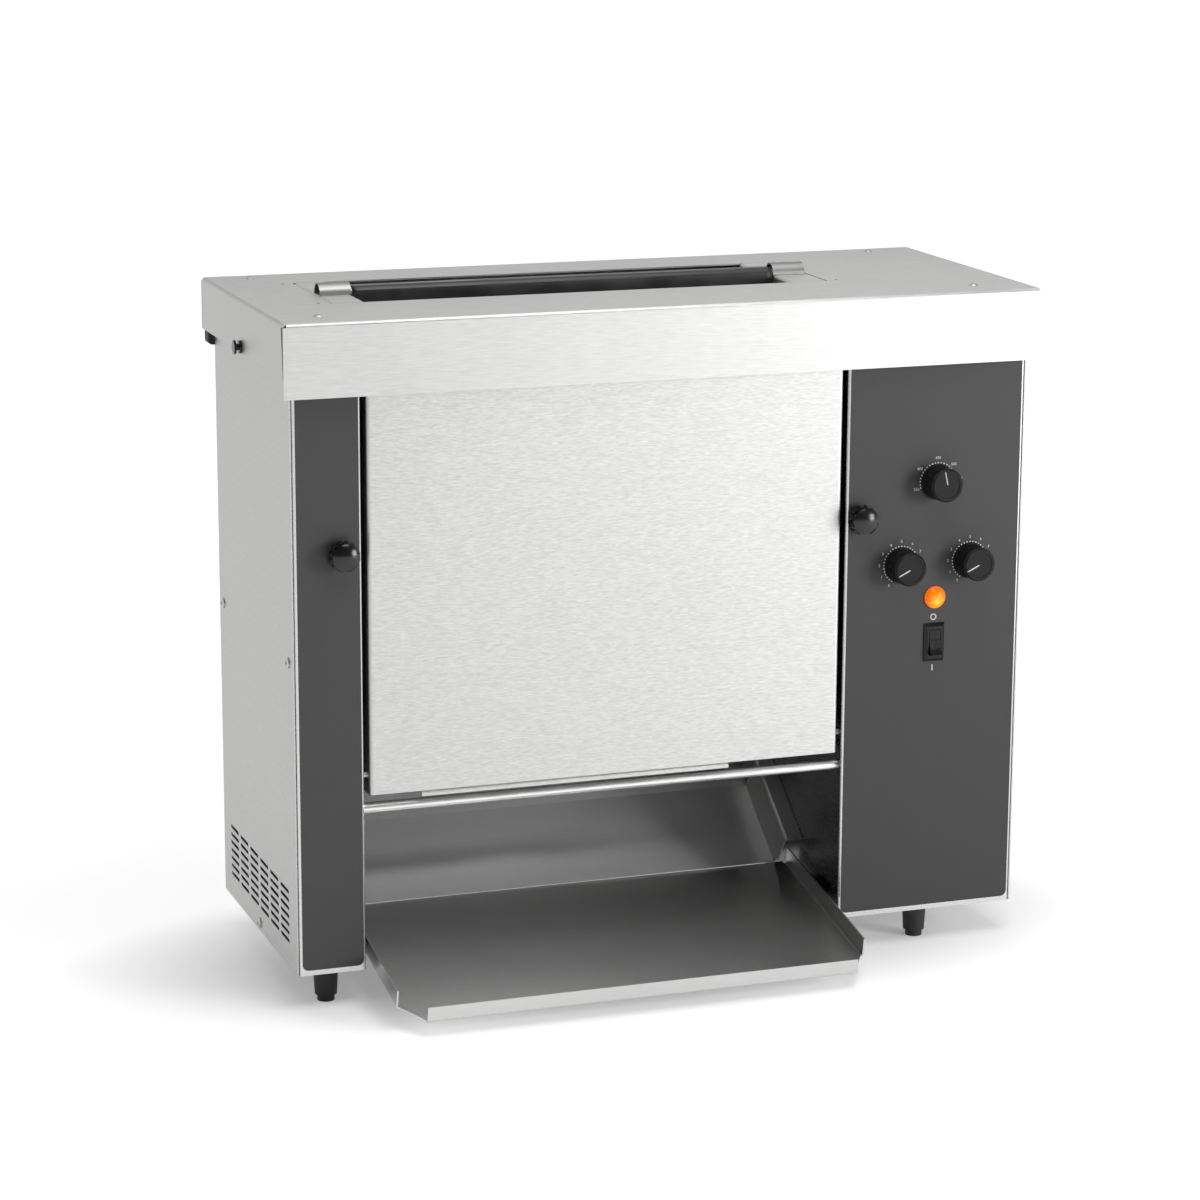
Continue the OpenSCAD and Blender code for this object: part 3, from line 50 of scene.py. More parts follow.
class Wiring:
    """Short helpers for making and linking the nodes of one node tree."""

    def __init__(self, tree):
        self.tree = tree

    def node(self, kind, **settings):
        made = self.tree.nodes.new(kind)
        for key, value in settings.items():
            setattr(made, key, value)
        return made

    def link(self, output, socket):
        self.tree.links.new(output, socket)

    def axes(self, coordinates):
        """X, Y and Z outputs of one kind of texture coordinates."""
        made = self.node("ShaderNodeSeparateXYZ")
        where = self.node("ShaderNodeTexCoord")
        self.link(where.outputs[coordinates], made.inputs["Vector"])
        return made.outputs

    def place(self, scale, turn=(0, 0, 0)):
        """Object coordinates in metres, turned and stretched by scale."""
        where = self.node("ShaderNodeTexCoord")
        mapping = self.node("ShaderNodeMapping")
        mapping.inputs["Scale"].default_value = scale
        mapping.inputs["Rotation"].default_value = turn
        self.link(where.outputs["Object"], mapping.inputs["Vector"])
        return mapping.outputs["Vector"]

    def even(self, scale):
        """Object coordinates stretched alike along every axis."""
        return self.place((scale, scale, scale))

    def noise(self, vector, detail=2.0, rough=0.5):
        made = self.node("ShaderNodeTexNoise")
        made.inputs["Scale"].default_value = 1.0
        made.inputs["Detail"].default_value = detail
        made.inputs["Roughness"].default_value = rough
        self.link(vector, made.inputs["Vector"])
        return made.outputs["Fac"]

    def cloud(self, scale):
        """Soft noise of the same scale along every axis."""
        return self.noise(self.even(scale), detail=3.0)

    def spread(self, value, low, high, from_low=0.3, from_high=0.7):
        """Value mapped to low..high; the default input range is that of a noise."""
        made = self.node("ShaderNodeMapRange")
        made.inputs["From Min"].default_value = from_low
        made.inputs["From Max"].default_value = from_high
        made.inputs["To Min"].default_value = low
        made.inputs["To Max"].default_value = high
        self.link(value, made.inputs["Value"])
        return made.outputs["Result"]

    def ramp(self, value, *stops):
        made = self.node("ShaderNodeValToRGB")
        ramp = made.color_ramp
        while len(ramp.elements) < len(stops):
            ramp.elements.new(0.5)
        for element, (at, color) in zip(ramp.elements, stops):
            element.position = at
            element.color = (*color, 1)
        self.link(value, made.inputs["Fac"])
        return made.outputs["Color"]

    def maths(self, kind, a, b=0.0):
        made = self.node("ShaderNodeMath", operation=kind)
        for socket, value in zip(made.inputs, (a, b)):
            if isinstance(value, (int, float)):
                socket.default_value = value
            else:
                self.link(value, socket)
        return made.outputs["Value"]

    def seen(self):
        """1 for rays that see the backdrop: camera, glossy and transmission."""
        path = self.node("ShaderNodeLightPath").outputs
        total = path["Is Camera Ray"]
        for kind in ("Is Glossy Ray", "Is Transmission Ray"):
            total = self.maths("MAXIMUM", total, path[kind])
        return total


class Surface(Wiring):
    """A Principled material with its wiring."""

    def __init__(self, name, color, rough, metal=0.0):
        self.mat = bpy.data.materials.new(name)
        self.mat.use_nodes = True
        super().__init__(self.mat.node_tree)
        self.bsdf = self.tree.nodes["Principled BSDF"]
        self.fix("Base Color", (*color, 1))
        self.fix("Roughness", rough)
        self.fix("Metallic", metal)

    def fix(self, socket, value):
        """One even value for a socket of the shader."""
        self.bsdf.inputs[socket].default_value = value

    def to(self, socket, output):
        self.link(output, self.bsdf.inputs[socket])

    def bump(self, height, strength, distance):
        made = self.node("ShaderNodeBump")
        made.inputs["Strength"].default_value = strength
        made.inputs["Distance"].default_value = distance
        self.link(height, made.inputs["Height"])
        self.to("Normal", made.outputs["Normal"])


# Kinds of material

MM_PER_METRE = 1000
DARK_STOP, MIDDLE, BRIGHT_STOP, RIM_STOP = 0.35, 0.5, 0.65, 0.95
STEEL_DARK, STEEL_BRIGHT = (0.80, 0.795, 0.785), (1.2, 1.2, 1.195)
STEEL_CLOUD, STEEL_MOTTLE = 5, 0.012
LINE_SHINE, LINE_DULL = 0.05, 0.07
CLOUD_SHINE, CLOUD_DULL = 0.02, 0.03
BRUSH_DEPTH = 0.00004
RIM_FADE, RIM_TONE = 0.003, 0.6
ALONG_GRAIN = 0.8
QUARTER_TURN = 0.25
MOULD_CLOUD, MOULD_SHINE, MOULD_DULL = 60, 0.35, 0.4
MOULD_DEPTH = 0.00006
RIPPLE_SCALE = 420
CLOTH_DARK, CLOTH_BRIGHT = (0.014, 0.014, 0.015), (0.026, 0.026, 0.027)
CLOTH_CLOUD, CLOTH_SHINE, CLOTH_DULL = 30, 0.30, 0.44
WEAVE_SLUR, WEAVE_RELIEF, WEAVE_DEPTH = 0.6, 0.25, 0.00008


def grey(level):
    return (level, level, level)


def brushed(name, along, level, rough, streak=0.06, length=14, fine=1100, stretch=0.0,
            relief=0.12, wear=1.0, painted_shade_edge=None, painted_side_shade=0.0, ends=0.0, matte=0.0, painted_top_shade=0.0):
    """Brushed stainless sheet with its grain along one axis, of a given tone and roughness.

    The grain has a contrast (streak), a length in mm, a fineness per metre and a relief, and
    wear is how uneven the polish is. stretch draws the shine out across the grain; ends is then
    the roughness of faces that look along it. painted_shade_edge is the Y of the front edge of a
    sheet whose level is painted shade: in front of it the tone rises to plain steel.
    painted_side_shade is painted shade on faces that look along X, matte is the roughness of
    level faces and painted_top_shade is a painted change of the tone of level faces.
    """
    surface = Surface(name, grey(level), rough, 1.0)
    facing = surface.axes("Normal")
    if stretch:
        lengthwise = surface.maths("ABSOLUTE", facing[along])
        across = surface.maths("GREATER_THAN", lengthwise, ALONG_GRAIN)
        grain = surface.node("ShaderNodeCombineXYZ")
        surface.link(surface.maths("SUBTRACT", 1.0, across), grain.inputs[along])
        surface.link(across, grain.inputs["Y" if along == "X" else "X"])
        surface.to("Tangent", grain.outputs["Vector"])
        surface.fix("Anisotropic", stretch)
        surface.fix("Anisotropic Rotation", QUARTER_TURN)

    scale = [fine, fine, fine]
    scale["XYZ".index(along)] = MM_PER_METRE / length
    lines = surface.noise(surface.place(scale), detail=3.0, rough=0.55)
    cloud = surface.cloud(STEEL_CLOUD)
    shade = surface.maths("ADD", surface.spread(lines, -streak, streak),
                          surface.spread(cloud, -STEEL_MOTTLE, STEEL_MOTTLE))
    tone = surface.maths("ADD", shade, MIDDLE)
    # Painted shade: faces that look along X are darkened by painted_side_shade.
    if painted_side_shade:
        turned = surface.maths("ABSOLUTE", facing["X"])
        tone = surface.maths("SUBTRACT", tone, surface.maths("MULTIPLY", turned, painted_side_shade))
    # Level faces: the roughness matte, and painted_top_shade as a painted change of their tone.
    if matte:
        flat = surface.maths("ABSOLUTE", facing["Z"])
        tone = surface.maths("ADD", tone, surface.maths("MULTIPLY", flat, painted_top_shade))
    dark = tuple(level * share for share in STEEL_DARK)
    bright = tuple(min(1, level * share) for share in STEEL_BRIGHT)
    stops = [(DARK_STOP, dark), (BRIGHT_STOP, bright)]
    # Painted shade stops at the front edge: in front of painted_shade_edge the tone rises to plain
    # steel.
    if painted_shade_edge is not None:
        edge = surface.spread(surface.axes("Object")["Y"], 0.5, 0.0, painted_shade_edge, painted_shade_edge + RIM_FADE)
        tone = surface.maths("ADD", tone, edge)
        stops.append((RIM_STOP, grey(RIM_TONE)))
    surface.to("Base Color", surface.ramp(tone, *stops))

    fine_polish = surface.spread(lines, rough - LINE_SHINE * wear, rough + LINE_DULL * wear)
    wide_polish = surface.spread(cloud, -CLOUD_SHINE * wear, CLOUD_DULL * wear)
    polish = surface.maths("ADD", fine_polish, wide_polish)
    if stretch and ends:
        polish = surface.maths("MAXIMUM", polish, surface.maths("MULTIPLY", across, ends))
    if matte:
        polish = surface.maths("MAXIMUM", polish, surface.maths("MULTIPLY", flat, matte))
    surface.to("Roughness", polish)
    surface.bump(lines, relief, BRUSH_DEPTH)
    return surface.mat


def moulded(name, tone, rough, grain=0.08, scale=2400, shine=0.5, mottle=0.15):
    """Moulded plastic, rubber or paint with a fine grain; tone is a grey level or a colour."""
    color = grey(tone) if isinstance(tone, float) else tone
    surface = Surface(name, color, rough)
    texture = surface.noise(surface.even(scale))
    cloud = surface.cloud(MOULD_CLOUD)
    dim = tuple(c * (1 - mottle) for c in color)
    lit = tuple(min(1, c * (1 + mottle)) for c in color)
    surface.to("Base Color", surface.ramp(cloud, (DARK_STOP, dim), (BRIGHT_STOP, lit)))
    surface.to("Roughness", surface.spread(
        cloud, rough - MOULD_SHINE * mottle, rough + MOULD_DULL * mottle))
    surface.fix("Specular IOR Level", shine)
    surface.bump(texture, grain, MOULD_DEPTH)
    return surface.mat


def lit_lens(name, filament, reach, ripple, strength):
    """Amber lens that glows most at its filament and fades over reach, a little unevenly."""
    surface = Surface(name, (0.9, 0.3, 0.01), 0.25)
    surface.fix("Coat Weight", 0.1)
    surface.fix("Coat Roughness", 0.08)
    surface.fix("Specular IOR Level", 0.2)
    surface.fix("Emission Strength", strength)
    away = surface.node("ShaderNodeVectorMath", operation="DISTANCE")
    where = surface.node("ShaderNodeTexCoord")
    surface.link(where.outputs["Object"], away.inputs[0])
    away.inputs[1].default_value = filament
    uneven = surface.spread(surface.noise(surface.even(RIPPLE_SCALE)), -ripple, ripple)
    glow = surface.spread(surface.maths("ADD", away.outputs["Value"], uneven), 0, 1, 0.0, reach)
    surface.to("Base Color", surface.ramp(
        glow, (0.1, (0.9, 0.42, 0.03)), (0.75, (0.75, 0.15, 0.002))))
    surface.to("Emission Color", surface.ramp(
        glow, (0.05, (1.0, 0.58, 0.10)), (0.32, (1.0, 0.28, 0.01)), (0.9, (0.70, 0.11, 0.0))))
    return surface.mat


def coated_cloth(name, threads_per_metre):
    """Dark coated glass cloth with a plain weave."""
    surface = Surface(name, (0.02, 0.02, 0.021), 0.36)
    scale = (threads_per_metre, threads_per_metre, threads_per_metre)
    weave = []
    for turn in (0.0, math.pi / 2):
        wave = surface.node("ShaderNodeTexWave", bands_direction="X")
        wave.inputs["Scale"].default_value = 1.0
        wave.inputs["Distortion"].default_value = WEAVE_SLUR
        surface.link(surface.place(scale, (0, turn, 0)), wave.inputs["Vector"])
        weave.append(wave.outputs["Fac"])
    cloud = surface.cloud(CLOTH_CLOUD)
    surface.to("Base Color", surface.ramp(
        cloud, (DARK_STOP, CLOTH_DARK), (BRIGHT_STOP, CLOTH_BRIGHT)))
    surface.to("Roughness", surface.spread(cloud, CLOTH_SHINE, CLOTH_DULL))
    surface.bump(surface.maths("MULTIPLY", *weave), WEAVE_RELIEF, WEAVE_DEPTH)
    return surface.mat


# The materials and the nodes that wear them

smooth = {"relief": 0.0, "wear": 0.1, "stretch": 0.85, "streak": 0.02}
# Level faces are rougher, and a little darker as painted shade.
level_faces = {"matte": 0.6, "painted_top_shade": -0.01}
# The hood's side flanges are darkened by painted_side_shade, a painted shade.
steel_front = brushed("steel_front", "X", 0.595, 0.45, painted_side_shade=0.14, **level_faces)
steel_cover = brushed("steel_cover", "X", 0.575, 0.45, streak=0.11, length=5, fine=1700)
steel_top = brushed("steel_top", "X", 0.60, 0.45, **level_faces)
steel_side = brushed("steel_side", "Y", 0.53, 0.52)
steel_tray = brushed("steel_tray", "X", 0.60, 0.30, **smooth)
# Chute steel set far lighter than the other sheet steel, as painted light inside the opening.
steel_chute_painted_light = brushed("steel_chute_painted_light", "X", 0.95, 0.46, ends=0.9, **smooth)
# Housing and pillar steel: a very dark level painted as the shade of the opening round the chute,
# plain steel tone on the front edge.
steel_wall_painted_shade = brushed("steel_wall_painted_shade", "Y", 0.14, 0.24, streak=0.04,
                     painted_shade_edge=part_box("control_housing")[0].y)
steel_bar = brushed("steel_bar", "X", 0.34, 0.40, streak=0.02, relief=0.0, wear=0.2)
# Rod steel set lighter than the sheet steel, as painted light.
steel_rod_painted_light = brushed("steel_rod_painted_light", "X", 0.78, 0.34, streak=0.03)
steel_small = brushed("steel_small", "Z", 0.50, 0.34, streak=0.03, length=3, relief=0.03)
alloy = brushed("cast_alloy", "Z", 0.58, 0.42, streak=0.03, length=2)
bronze = moulded("sintered_bronze", (0.32, 0.2, 0.08), 0.45, grain=0.1, scale=1800)
overlay = moulded("overlay_film", 0.053, 0.46, grain=0.10, scale=3200, mottle=0.02)
panel_film = moulded("panel_film", 0.039, 0.48, grain=0.10, scale=3200, shine=0.45, mottle=0.02)
knob_black = moulded("knob_black", 0.013, 0.50, scale=2600, shine=0.2)
clamp_black = moulded("clamp_black", 0.008, 0.23, grain=0.03, scale=900)
switch_black = moulded("switch_black", 0.008, 0.27, grain=0.05, scale=2600, shine=0.3)
rubber = moulded("foot_rubber", 0.016, 0.62, grain=0.2, scale=1500)
belt_black = moulded("belt_rubber", 0.018, 0.55, grain=0.2, scale=1200)
motor_grey = moulded("motor_paint", 0.06, 0.42, grain=0.1, scale=900)
board_green = moulded("board_green", (0.03, 0.16, 0.07), 0.45, grain=0.1, scale=900)
ivory = moulded("ivory_plastic", (0.62, 0.58, 0.47), 0.5, grain=0.1, scale=900)
ink = moulded("white_ink", 0.78, 0.5, grain=0.05, scale=3000)

lens_low, lens_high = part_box("lamp_lens")
lens_mid = (lens_low + lens_high) / 2
FILAMENT_DROP = 0.0036
filament = (lens_mid.x, lens_low.y, lens_mid.z - FILAMENT_DROP)
lens_amber = lit_lens("lens_amber", filament, reach=0.011, ripple=0.0016, strength=0.75)

finish = (
    (steel_front, ("hood", "rear_panel")),
    (steel_cover, ("front_cover", "cover_lip")),
    (steel_top, ("left_slot_plate", "right_slot_plate")),
    (steel_side, ("left_side_panel", "right_side_panel", "base_pan", "tray_ledges")),
    (steel_tray, ("discharge_tray",)),
    (steel_chute_painted_light, ("discharge_chute",)),
    (steel_wall_painted_shade, ("left_pillar", "control_housing")),
    (steel_bar, ("release_bar",)),
    (steel_rod_painted_light, ("guard_rod",)),
    (steel_small, ("hood_rivets", "panel_screws", "cover_pins", "platen_studs",
                   "heating_elements")),
    (alloy, ("platen", "front_drive_roller", "front_idler_roller", "rear_drive_roller",
             "rear_idler_roller", "dial_bodies")),
    (bronze, ("shaft_bushes",)),
    (overlay, ("left_overlay",)),
    (panel_film, ("control_overlay",)),
    (knob_black, ("temperature_knob", "front_speed_knob", "rear_speed_knob")),
    (clamp_black, ("left_clamp_knob", "right_clamp_knob", "left_thumbscrew",
                   "right_thumbscrew")),
    (switch_black, ("switch_frame", "switch_rocker", "lamp_body", "temperature_controller",
                    "fan_frame", "fan_rotor", "cord_gland", "limit_thermostat")),
    (rubber, ("feet", "rear_pads")),
    (belt_black, ("front_belt", "rear_belt")),
    (motor_grey, ("front_gearmotor", "rear_gearmotor")),
    (board_green, ("speed_board",)),
    (ivory, ("terminal_block",)),
    (lens_amber, ("lamp_lens",)),
)
for material, names in finish:
    for name in names:
        slots = nodes[name].data.materials
        slots.clear()
        slots.append(material)


# Printed scales: thin ink on the face of the control overlay

INK = 0.00005
DASH_STEP = 9.8
DASH_WIDTH = 0.0010
DASH_INNER, DASH_MIDDLE, DASH_OUTER = 0.0138, 0.0143, 0.0149
LABEL_RADIUS, LABEL_SIZE = 0.0182, 0.0031
HEAT_FIRST, HEAT_LAST = -107, 137.9
HEAT_LABELS = [(-107, "350"), (-55, "400"), (0, "450"), (46, "500"), (86, "550"), (130, "600")]
SPEED_END, SPEED_TOP = 147, 10
SPEED_STEP = 2 * SPEED_END / SPEED_TOP
SPEED_LABELS = [(-SPEED_END + SPEED_STEP * i, str(i)) for i in range(SPEED_TOP + 1)]

panel_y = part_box("control_overlay")[0].y


def close_piece(bm, name, material, body):
    """One piece of the visual model from a bmesh, riding on a body."""
    bmesh.ops.remove_doubles(bm, verts=bm.verts, dist=1e-7)
    bmesh.ops.recalc_face_normals(bm, faces=bm.faces)
    mesh = bpy.data.meshes.new(name)
    bm.to_mesh(mesh)
    bm.free()
    piece = bpy.data.objects.new(name, mesh)
    bpy.context.collection.objects.link(piece)
    piece.data.materials.append(material)
    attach(piece, body)
    return piece


def printed(bm, outline):
    """Closed slab of ink from an outline in (x, z), on the overlay."""
    lower = [bm.verts.new((x, panel_y, z)) for x, z in outline]
    upper = [bm.verts.new((x, panel_y - INK, z)) for x, z in outline]
    bm.faces.new(upper)
    bm.faces.new(list(reversed(lower)))
    for i, a in enumerate(lower):
        j = (i + 1) % len(lower)
        bm.faces.new((a, lower[j], upper[j], upper[i]))


def printed_text(bm, text, at, size):
    """Figures centred at a point in (x, z), on the overlay."""
    data = bpy.data.curves.new("glyphs", "FONT")
    data.body = text
    data.size = size
    data.align_x = "CENTER"
    data.align_y = "CENTER"
    data.extrude = INK / 2
    data.resolution_u = 3
    holder = bpy.data.objects.new("glyphs", data)
    bpy.context.collection.objects.link(holder)
    bpy.context.view_layer.update()
    solid = holder.evaluated_get(bpy.context.evaluated_depsgraph_get())
    mesh = bpy.data.meshes.new_from_object(solid)
    upright = Matrix.Rotation(math.pi / 2, 4, "X")
    mesh.transform(Matrix.Translation((at[0], panel_y - INK / 2, at[1])) @ upright)
    bm.from_mesh(mesh)
    bpy.data.objects.remove(holder)
    bpy.data.curves.remove(data)
    bpy.data.meshes.remove(mesh)


def polar(centre, angle, radius):
    """Point at an angle from upright, clockwise seen from the front."""
    turn = math.radians(angle)
    return (centre[0] + radius * math.sin(turn), centre[1] + radius * math.cos(turn))


def front_centre(node):
    """Middle of a node's box in (x, z)."""
    low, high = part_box(node)
    return ((low.x + high.x) / 2, (low.z + high.z) / 2)


def dial_scale(name, node, labels, first, last):
    """Arc of dashes round a knob, with its figures."""
    centre = front_centre(node)
    bm = bmesh.new()
    half = math.degrees(DASH_WIDTH / 2 / DASH_MIDDLE)
    for i in range(round((last - first) / DASH_STEP) + 1):
        start, end = first + i * DASH_STEP - half, first + i * DASH_STEP + half
        printed(bm, [polar(centre, start, DASH_INNER), polar(centre, end, DASH_INNER),
                     polar(centre, end, DASH_OUTER), polar(centre, start, DASH_OUTER)])
    for angle, text in labels:
        printed_text(bm, text, polar(centre, angle, LABEL_RADIUS), LABEL_SIZE)
    close_piece(bm, name, ink, "chassis")


dial_scale("temperature_scale", "temperature_knob", HEAT_LABELS, HEAT_FIRST, HEAT_LAST)
dial_scale("front_speed_scale", "front_speed_knob", SPEED_LABELS, -SPEED_END, SPEED_END)
dial_scale("rear_speed_scale", "rear_speed_knob", SPEED_LABELS, -SPEED_END, SPEED_END)


# Switch marks: a ring above the switch and a bar below it

MARKS_LEFT = 0.0006
RING_STEPS = 40
RING_RISE, RING_INNER, RING_OUTER = 0.0196, 0.0017, 0.0026
BAR_DROP, BAR_HALF_WIDTH, BAR_HALF_HEIGHT = 0.0202, 0.0005, 0.0024


def switch_marks():
    middle_x, middle_z = front_centre("switch_frame")
    ring_centre = (middle_x - MARKS_LEFT, middle_z + RING_RISE)
    bar_x, bar_z = middle_x - MARKS_LEFT, middle_z - BAR_DROP
    bm = bmesh.new()
    step = 360 / RING_STEPS
    for i in range(RING_STEPS):
        start, end = i * step, (i + 1) % RING_STEPS * step
        printed(bm, [polar(ring_centre, start, RING_INNER), polar(ring_centre, end, RING_INNER),
                     polar(ring_centre, end, RING_OUTER), polar(ring_centre, start, RING_OUTER)])
    printed(bm, [(bar_x + u * BAR_HALF_WIDTH, bar_z + w * BAR_HALF_HEIGHT)
                 for u, w in ((-1, -1), (1, -1), (1, 1), (-1, 1))])
    close_piece(bm, "switch_marks", ink, "chassis")


switch_marks()


# White pointer inlays in the knobs' grooves

POINTER_SIZE = (0.00085, 0.00050, 0.0104)
POINTER_BEVEL = 0.0001
POINTER_SUNK = 0.00064
POINTER_RADIUS = 0.0059
HEAT_SET, SPEED_SET = -12, -116


def pointer(node, angle):
    x, z = front_centre(node)
    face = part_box(node)[0].y
    bm = bmesh.new()
    bmesh.ops.create_cube(bm, size=1.0)
    shape = Matrix.Diagonal((*POINTER_SIZE, 1))
    stand = Matrix.Translation((0, POINTER_SUNK, POINTER_RADIUS))
    turn = Matrix.Rotation(math.radians(angle), 4, "Y")
    bmesh.ops.transform(bm, matrix=Matrix.Translation((x, face, z)) @ turn @ stand @ shape,
                        verts=bm.verts)
    bmesh.ops.bevel(bm, geom=bm.edges[:], offset=POINTER_BEVEL, segments=2, affect="EDGES")
    close_piece(bm, node + "_pointer", ink, node)


pointer("temperature_knob", HEAT_SET)
pointer("front_speed_knob", SPEED_SET)
pointer("rear_speed_knob", SPEED_SET)


# Release sheet: coated glass cloth draped over its bar, tails hanging either side of the platen

SHEET_THICK = 0.0005
SHEET_COLUMNS = 84
CROWN_PROUD = 0.00005
BAR_CORNER = 0.0050
BAR_INSET, BAR_CLEAR = 0.0002, 0.0001
BEND_BELOW_BAR, BEND_ABOVE_PLATEN = 0.002, 0.006
ARC_STEPS, BEND_STEPS, TAIL_STEPS = 8, 8, 24
THREADS_PER_METRE = 320
TAIL_LIFT = 0.0012
LONG_WAVE, LONG_PACE, FRONT_PHASE, REAR_PHASE = 0.0011, 11, 0.2, 1.7
SHORT_WAVE, SHORT_PACE, SHORT_PHASE = 0.0007, 23, 0.9
SLACK, SLACK_PACE, SLACK_DROP, SLACK_FADE = 0.00012, 37, 400, 0.01


def sheet_half(low, high, crown):
    """Half the sheet's run in (y, z), from its crown down, and the height where its tail starts."""
    bar_low, bar_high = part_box("release_bar")
    half_bar = (bar_high.y - bar_low.y) / 2 - BAR_INSET
    half_tail = (high.y - low.y) / 2
    bend = bar_low.z - BEND_BELOW_BAR
    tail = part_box("platen")[1].z - BEND_ABOVE_PLATEN
    run = []
    for i in range(ARC_STEPS + 1):
        turn = math.pi / 2 * i / ARC_STEPS
        run.append((half_bar - BAR_CORNER + BAR_CORNER * math.sin(turn),
                    crown - BAR_CORNER + BAR_CORNER * math.cos(turn)))
    run.append((half_bar + BAR_CLEAR, bar_low.z))
    for i in range(1, BEND_STEPS + 1):
        t = i / BEND_STEPS
        ease = 3 * t * t - 2 * t ** 3
        run.append((half_bar + (half_tail - half_bar) * ease, bend + (tail - bend) * t))
    for i in range(1, TAIL_STEPS + 1):
        run.append((half_tail, tail + (low.z - tail) * i / TAIL_STEPS))
    return run, tail


def outward(profile):
    """Unit normals of a run of points, to its outer side."""
    normals = []
    for i in range(len(profile)):
        a, b = profile[max(i - 1, 0)], profile[min(i + 1, len(profile) - 1)]
        length = math.hypot(b[0] - a[0], b[1] - a[1])
        normals.append((-(b[1] - a[1]) / length, (b[0] - a[0]) / length))
    return normals


def sheet_waves(u, y, z, fall, crown):
    """Offset of the cloth at a share u of its width: waves in the tails, slack below the crown."""
    phase = REAR_PHASE if y > 0 else FRONT_PHASE
    hang = (TAIL_LIFT + LONG_WAVE * math.sin(LONG_PACE * u + phase)
            + SHORT_WAVE * math.sin(SHORT_PACE * u + SHORT_PHASE))
    fade = min(1.0, max(0.0, (crown - z) / SLACK_FADE))
    slack = SLACK * math.sin(SLACK_PACE * u + SLACK_DROP * z) * fade
    return fall * fall * hang + min(0.0, slack)


def release_sheet():
    low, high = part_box("release_sheet")
    crown = high.z + CROWN_PROUD
    side, tail = sheet_half(low, high, crown)
    profile = [(-y, z) for y, z in reversed(side)] + side
    normals = outward(profile)
    mid = (low.y + high.y) / 2
    columns = SHEET_COLUMNS
    bm = bmesh.new()
    layers = []
    for depth in (0.0, SHEET_THICK):
        rows = []
        for (y, z), (ny, nz) in zip(profile, normals):
            fall = max(0.0, (tail - z) / (tail - low.z))
            row = []
            for c in range(columns + 1):
                u = c / columns
                x = low.x + (high.x - low.x) * u
                away = sheet_waves(u, y, z, fall, crown) - depth
                row.append(bm.verts.new((x, mid + y + ny * away, z + nz * away)))
            rows.append(row)
        layers.append(rows)
    outer, inner = layers
    last = len(profile) - 1
    for i in range(last):
        for c in range(columns):
            bm.faces.new((outer[i][c], outer[i][c + 1], outer[i + 1][c + 1], outer[i + 1][c]))
            bm.faces.new((inner[i][c], inner[i + 1][c], inner[i + 1][c + 1], inner[i][c + 1]))
        for c in (0, columns):
            bm.faces.new((outer[i][c], outer[i + 1][c], inner[i + 1][c], inner[i][c]))
    for c in range(columns):
        for i in (0, last):
            bm.faces.new((outer[i][c], outer[i][c + 1], inner[i][c + 1], inner[i][c]))
    for face in bm.faces:
        face.smooth = True
    run = [0.0]
    for (a, b), (c, d) in zip(profile, profile[1:]):
        run.append(run[-1] + math.hypot(c - a, d - b))
    cloth = coated_cloth("coated_cloth", THREADS_PER_METRE)
    piece = close_piece(bm, "draped_release_sheet", cloth, "release_bar")
    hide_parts("release_sheet")


release_sheet()


# Floor: white paper that keeps the object's shadow, its glow painted lower round the object as
# painted shade and brighter away from it

FLOOR_REACH = 60
FLOOR_TONE = 0.86
SHADOW_FORM = (0.8, 1.7, 1)
NEAR_GLOW, NEAR_REACH = (0.20, 0.66), (0.20, 0.38)
FAR_GLOW, FAR_REACH = (0.0, 0.22), (0.5, 3.0)

floor_mesh = bpy.data.meshes.new("floor")
floor_mesh.from_pydata([(-FLOOR_REACH, -FLOOR_REACH, 0), (FLOOR_REACH, -FLOOR_REACH, 0),
                        (FLOOR_REACH, FLOOR_REACH, 0), (-FLOOR_REACH, FLOOR_REACH, 0)],
                       [], [(0, 1, 2, 3)])
floor = bpy.data.objects.new("floor", floor_mesh)
bpy.context.collection.objects.link(floor)

paper = Surface("floor_white", grey(FLOOR_TONE), 0.95)
paper.fix("Specular IOR Level", 0.0)
paper.fix("Emission Color", WHITE)
distance = paper.node("ShaderNodeVectorMath", operation="LENGTH")
paper.link(paper.place(SHADOW_FORM), distance.inputs[0])
# Painted shade: the glow is lowest round the object and rises over NEAR_REACH and FAR_REACH away
# from it.
near = paper.spread(distance.outputs["Value"], *NEAR_GLOW, *NEAR_REACH)
far = paper.spread(distance.outputs["Value"], *FAR_GLOW, *FAR_REACH)
paper.to("Emission Strength", paper.maths("MULTIPLY", paper.seen(), paper.maths("ADD", near, far)))
floor.data.materials.append(paper.mat)


# Lamps: name, place, aim, size in metres, watts

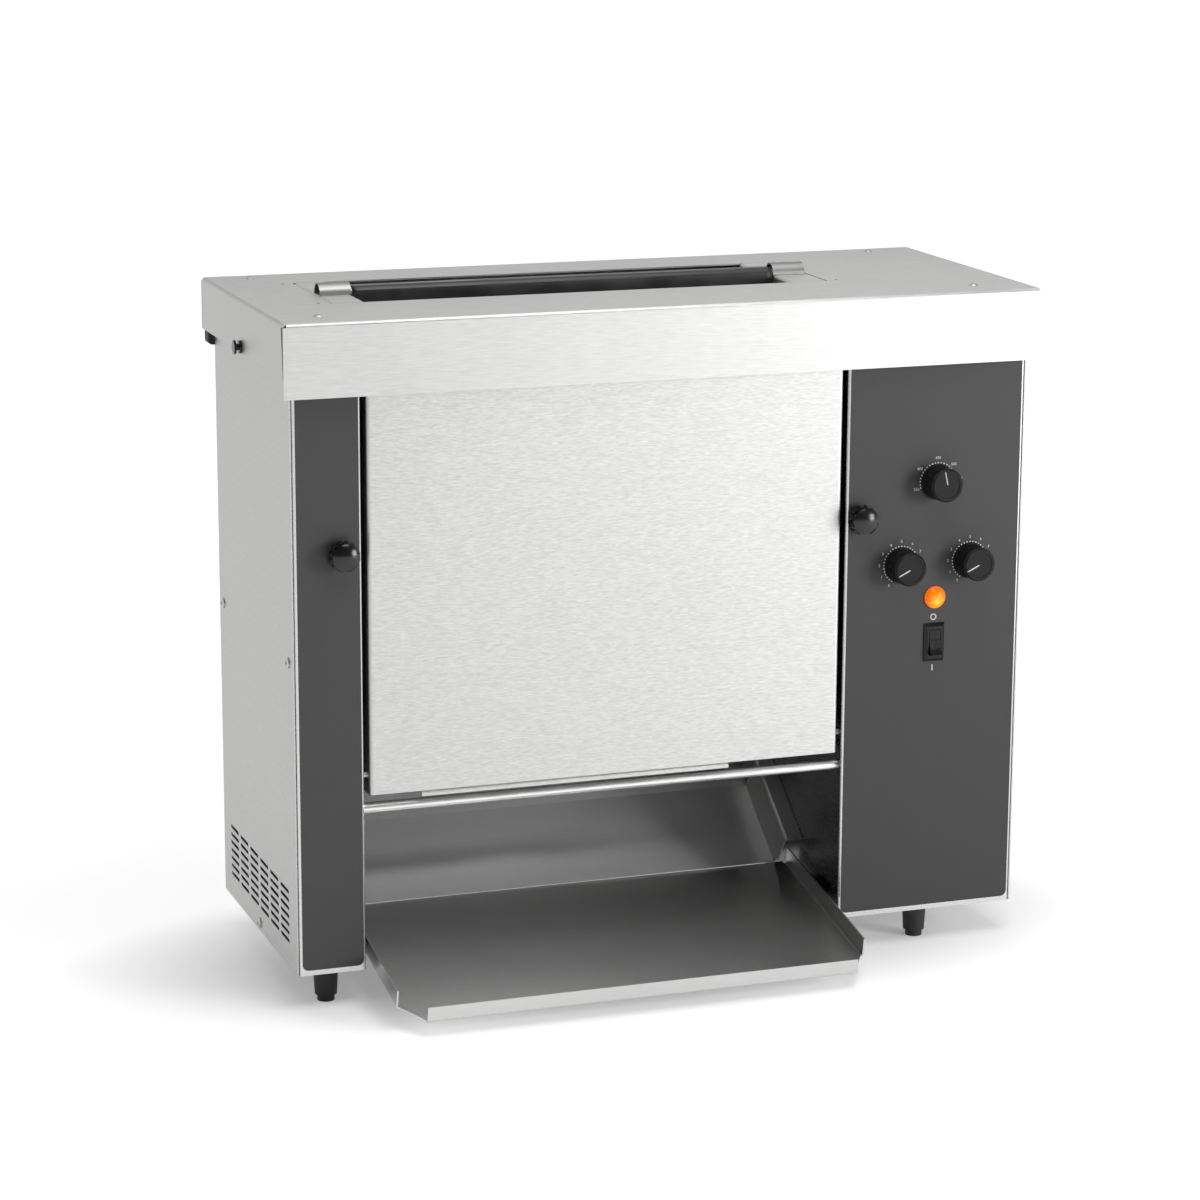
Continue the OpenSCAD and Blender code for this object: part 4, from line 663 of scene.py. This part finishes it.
LAMPS = (
    ("key", (1.90, -1.84, 0.72), (0.0, 0.0, 0.25), (0.9, 1.0), 36),
    ("top", (0.0, 0.0, 2.6), (0.0, 0.0, 0.2), (2.6, 2.0), 12),
    ("soft", (0.08, -1.00, 1.75), (0.08, -0.15, 0.30), (0.8, 0.5), 6),
    ("overhead", (0.15, -0.28, 1.30), (0.15, -0.28, 0.0), (0.40, 0.60), 2.2),
)
for name, at, aim, size, watts in LAMPS:
    light = bpy.data.lights.new(name, "AREA")
    light.shape = "RECTANGLE"
    light.size, light.size_y = size
    light.energy = watts
    holder = bpy.data.objects.new(name, light)
    bpy.context.collection.objects.link(holder)
    holder.location = at
    holder.rotation_euler = (Vector(aim) - Vector(at)).to_track_quat("-Z", "Y").to_euler()


# World: white as it is seen, dimmer as light on the object, falling off upwards and in front

SKY_LIGHT, SKY_SEEN = 0.42, 1.0
RISE_SHARE, RISE_REACH = (1.0, 0.55), (0.15, 0.5)
FORE_SHARE, FORE_REACH = (0.15, 1.0), (-0.6, 0.1)

world = bpy.data.worlds.new("studio")
bpy.context.scene.world = world
world.use_nodes = True
sky = Wiring(world.node_tree)
toward = sky.axes("Generated")
rise = sky.spread(toward["Z"], *RISE_SHARE, *RISE_REACH)
fore = sky.spread(toward["Y"], *FORE_SHARE, *FORE_REACH)
shown = sky.spread(sky.seen(), SKY_LIGHT, SKY_SEEN, 0.0, 1.0)
strength = sky.maths("MULTIPLY", sky.maths("MULTIPLY", shown, rise), fore)
backdrop = sky.tree.nodes["Background"]
backdrop.inputs["Color"].default_value = WHITE
sky.link(strength, backdrop.inputs["Strength"])


# Camera

YAW, PITCH, ROLL = (math.radians(angle) for angle in (19.42, 13.22, 0.27))
AIM = Vector((-0.01444, 0.0385, 0.26559))
EYE_DISTANCE = 2.75716

back = Vector((-math.sin(YAW) * math.cos(PITCH), -math.cos(YAW) * math.cos(PITCH),
               math.sin(PITCH)))
right = (-back).cross(Vector((0, 0, 1))).normalized()
up = right.cross(-back)
rolled_right = math.cos(ROLL) * right + math.sin(ROLL) * up
rolled_up = math.cos(ROLL) * up - math.sin(ROLL) * right
view = bpy.data.cameras.new("photo_view")
view.sensor_width = 36
view.lens = 106.93
view.clip_end = 50
camera = bpy.data.objects.new("photo_view", view)
bpy.context.collection.objects.link(camera)
attitude = Matrix((rolled_right, rolled_up, back)).transposed().to_4x4()
camera.matrix_world = Matrix.Translation(AIM + EYE_DISTANCE * back) @ attitude
bpy.context.scene.camera = camera
bpy.context.scene.view_settings.view_transform = "Standard"
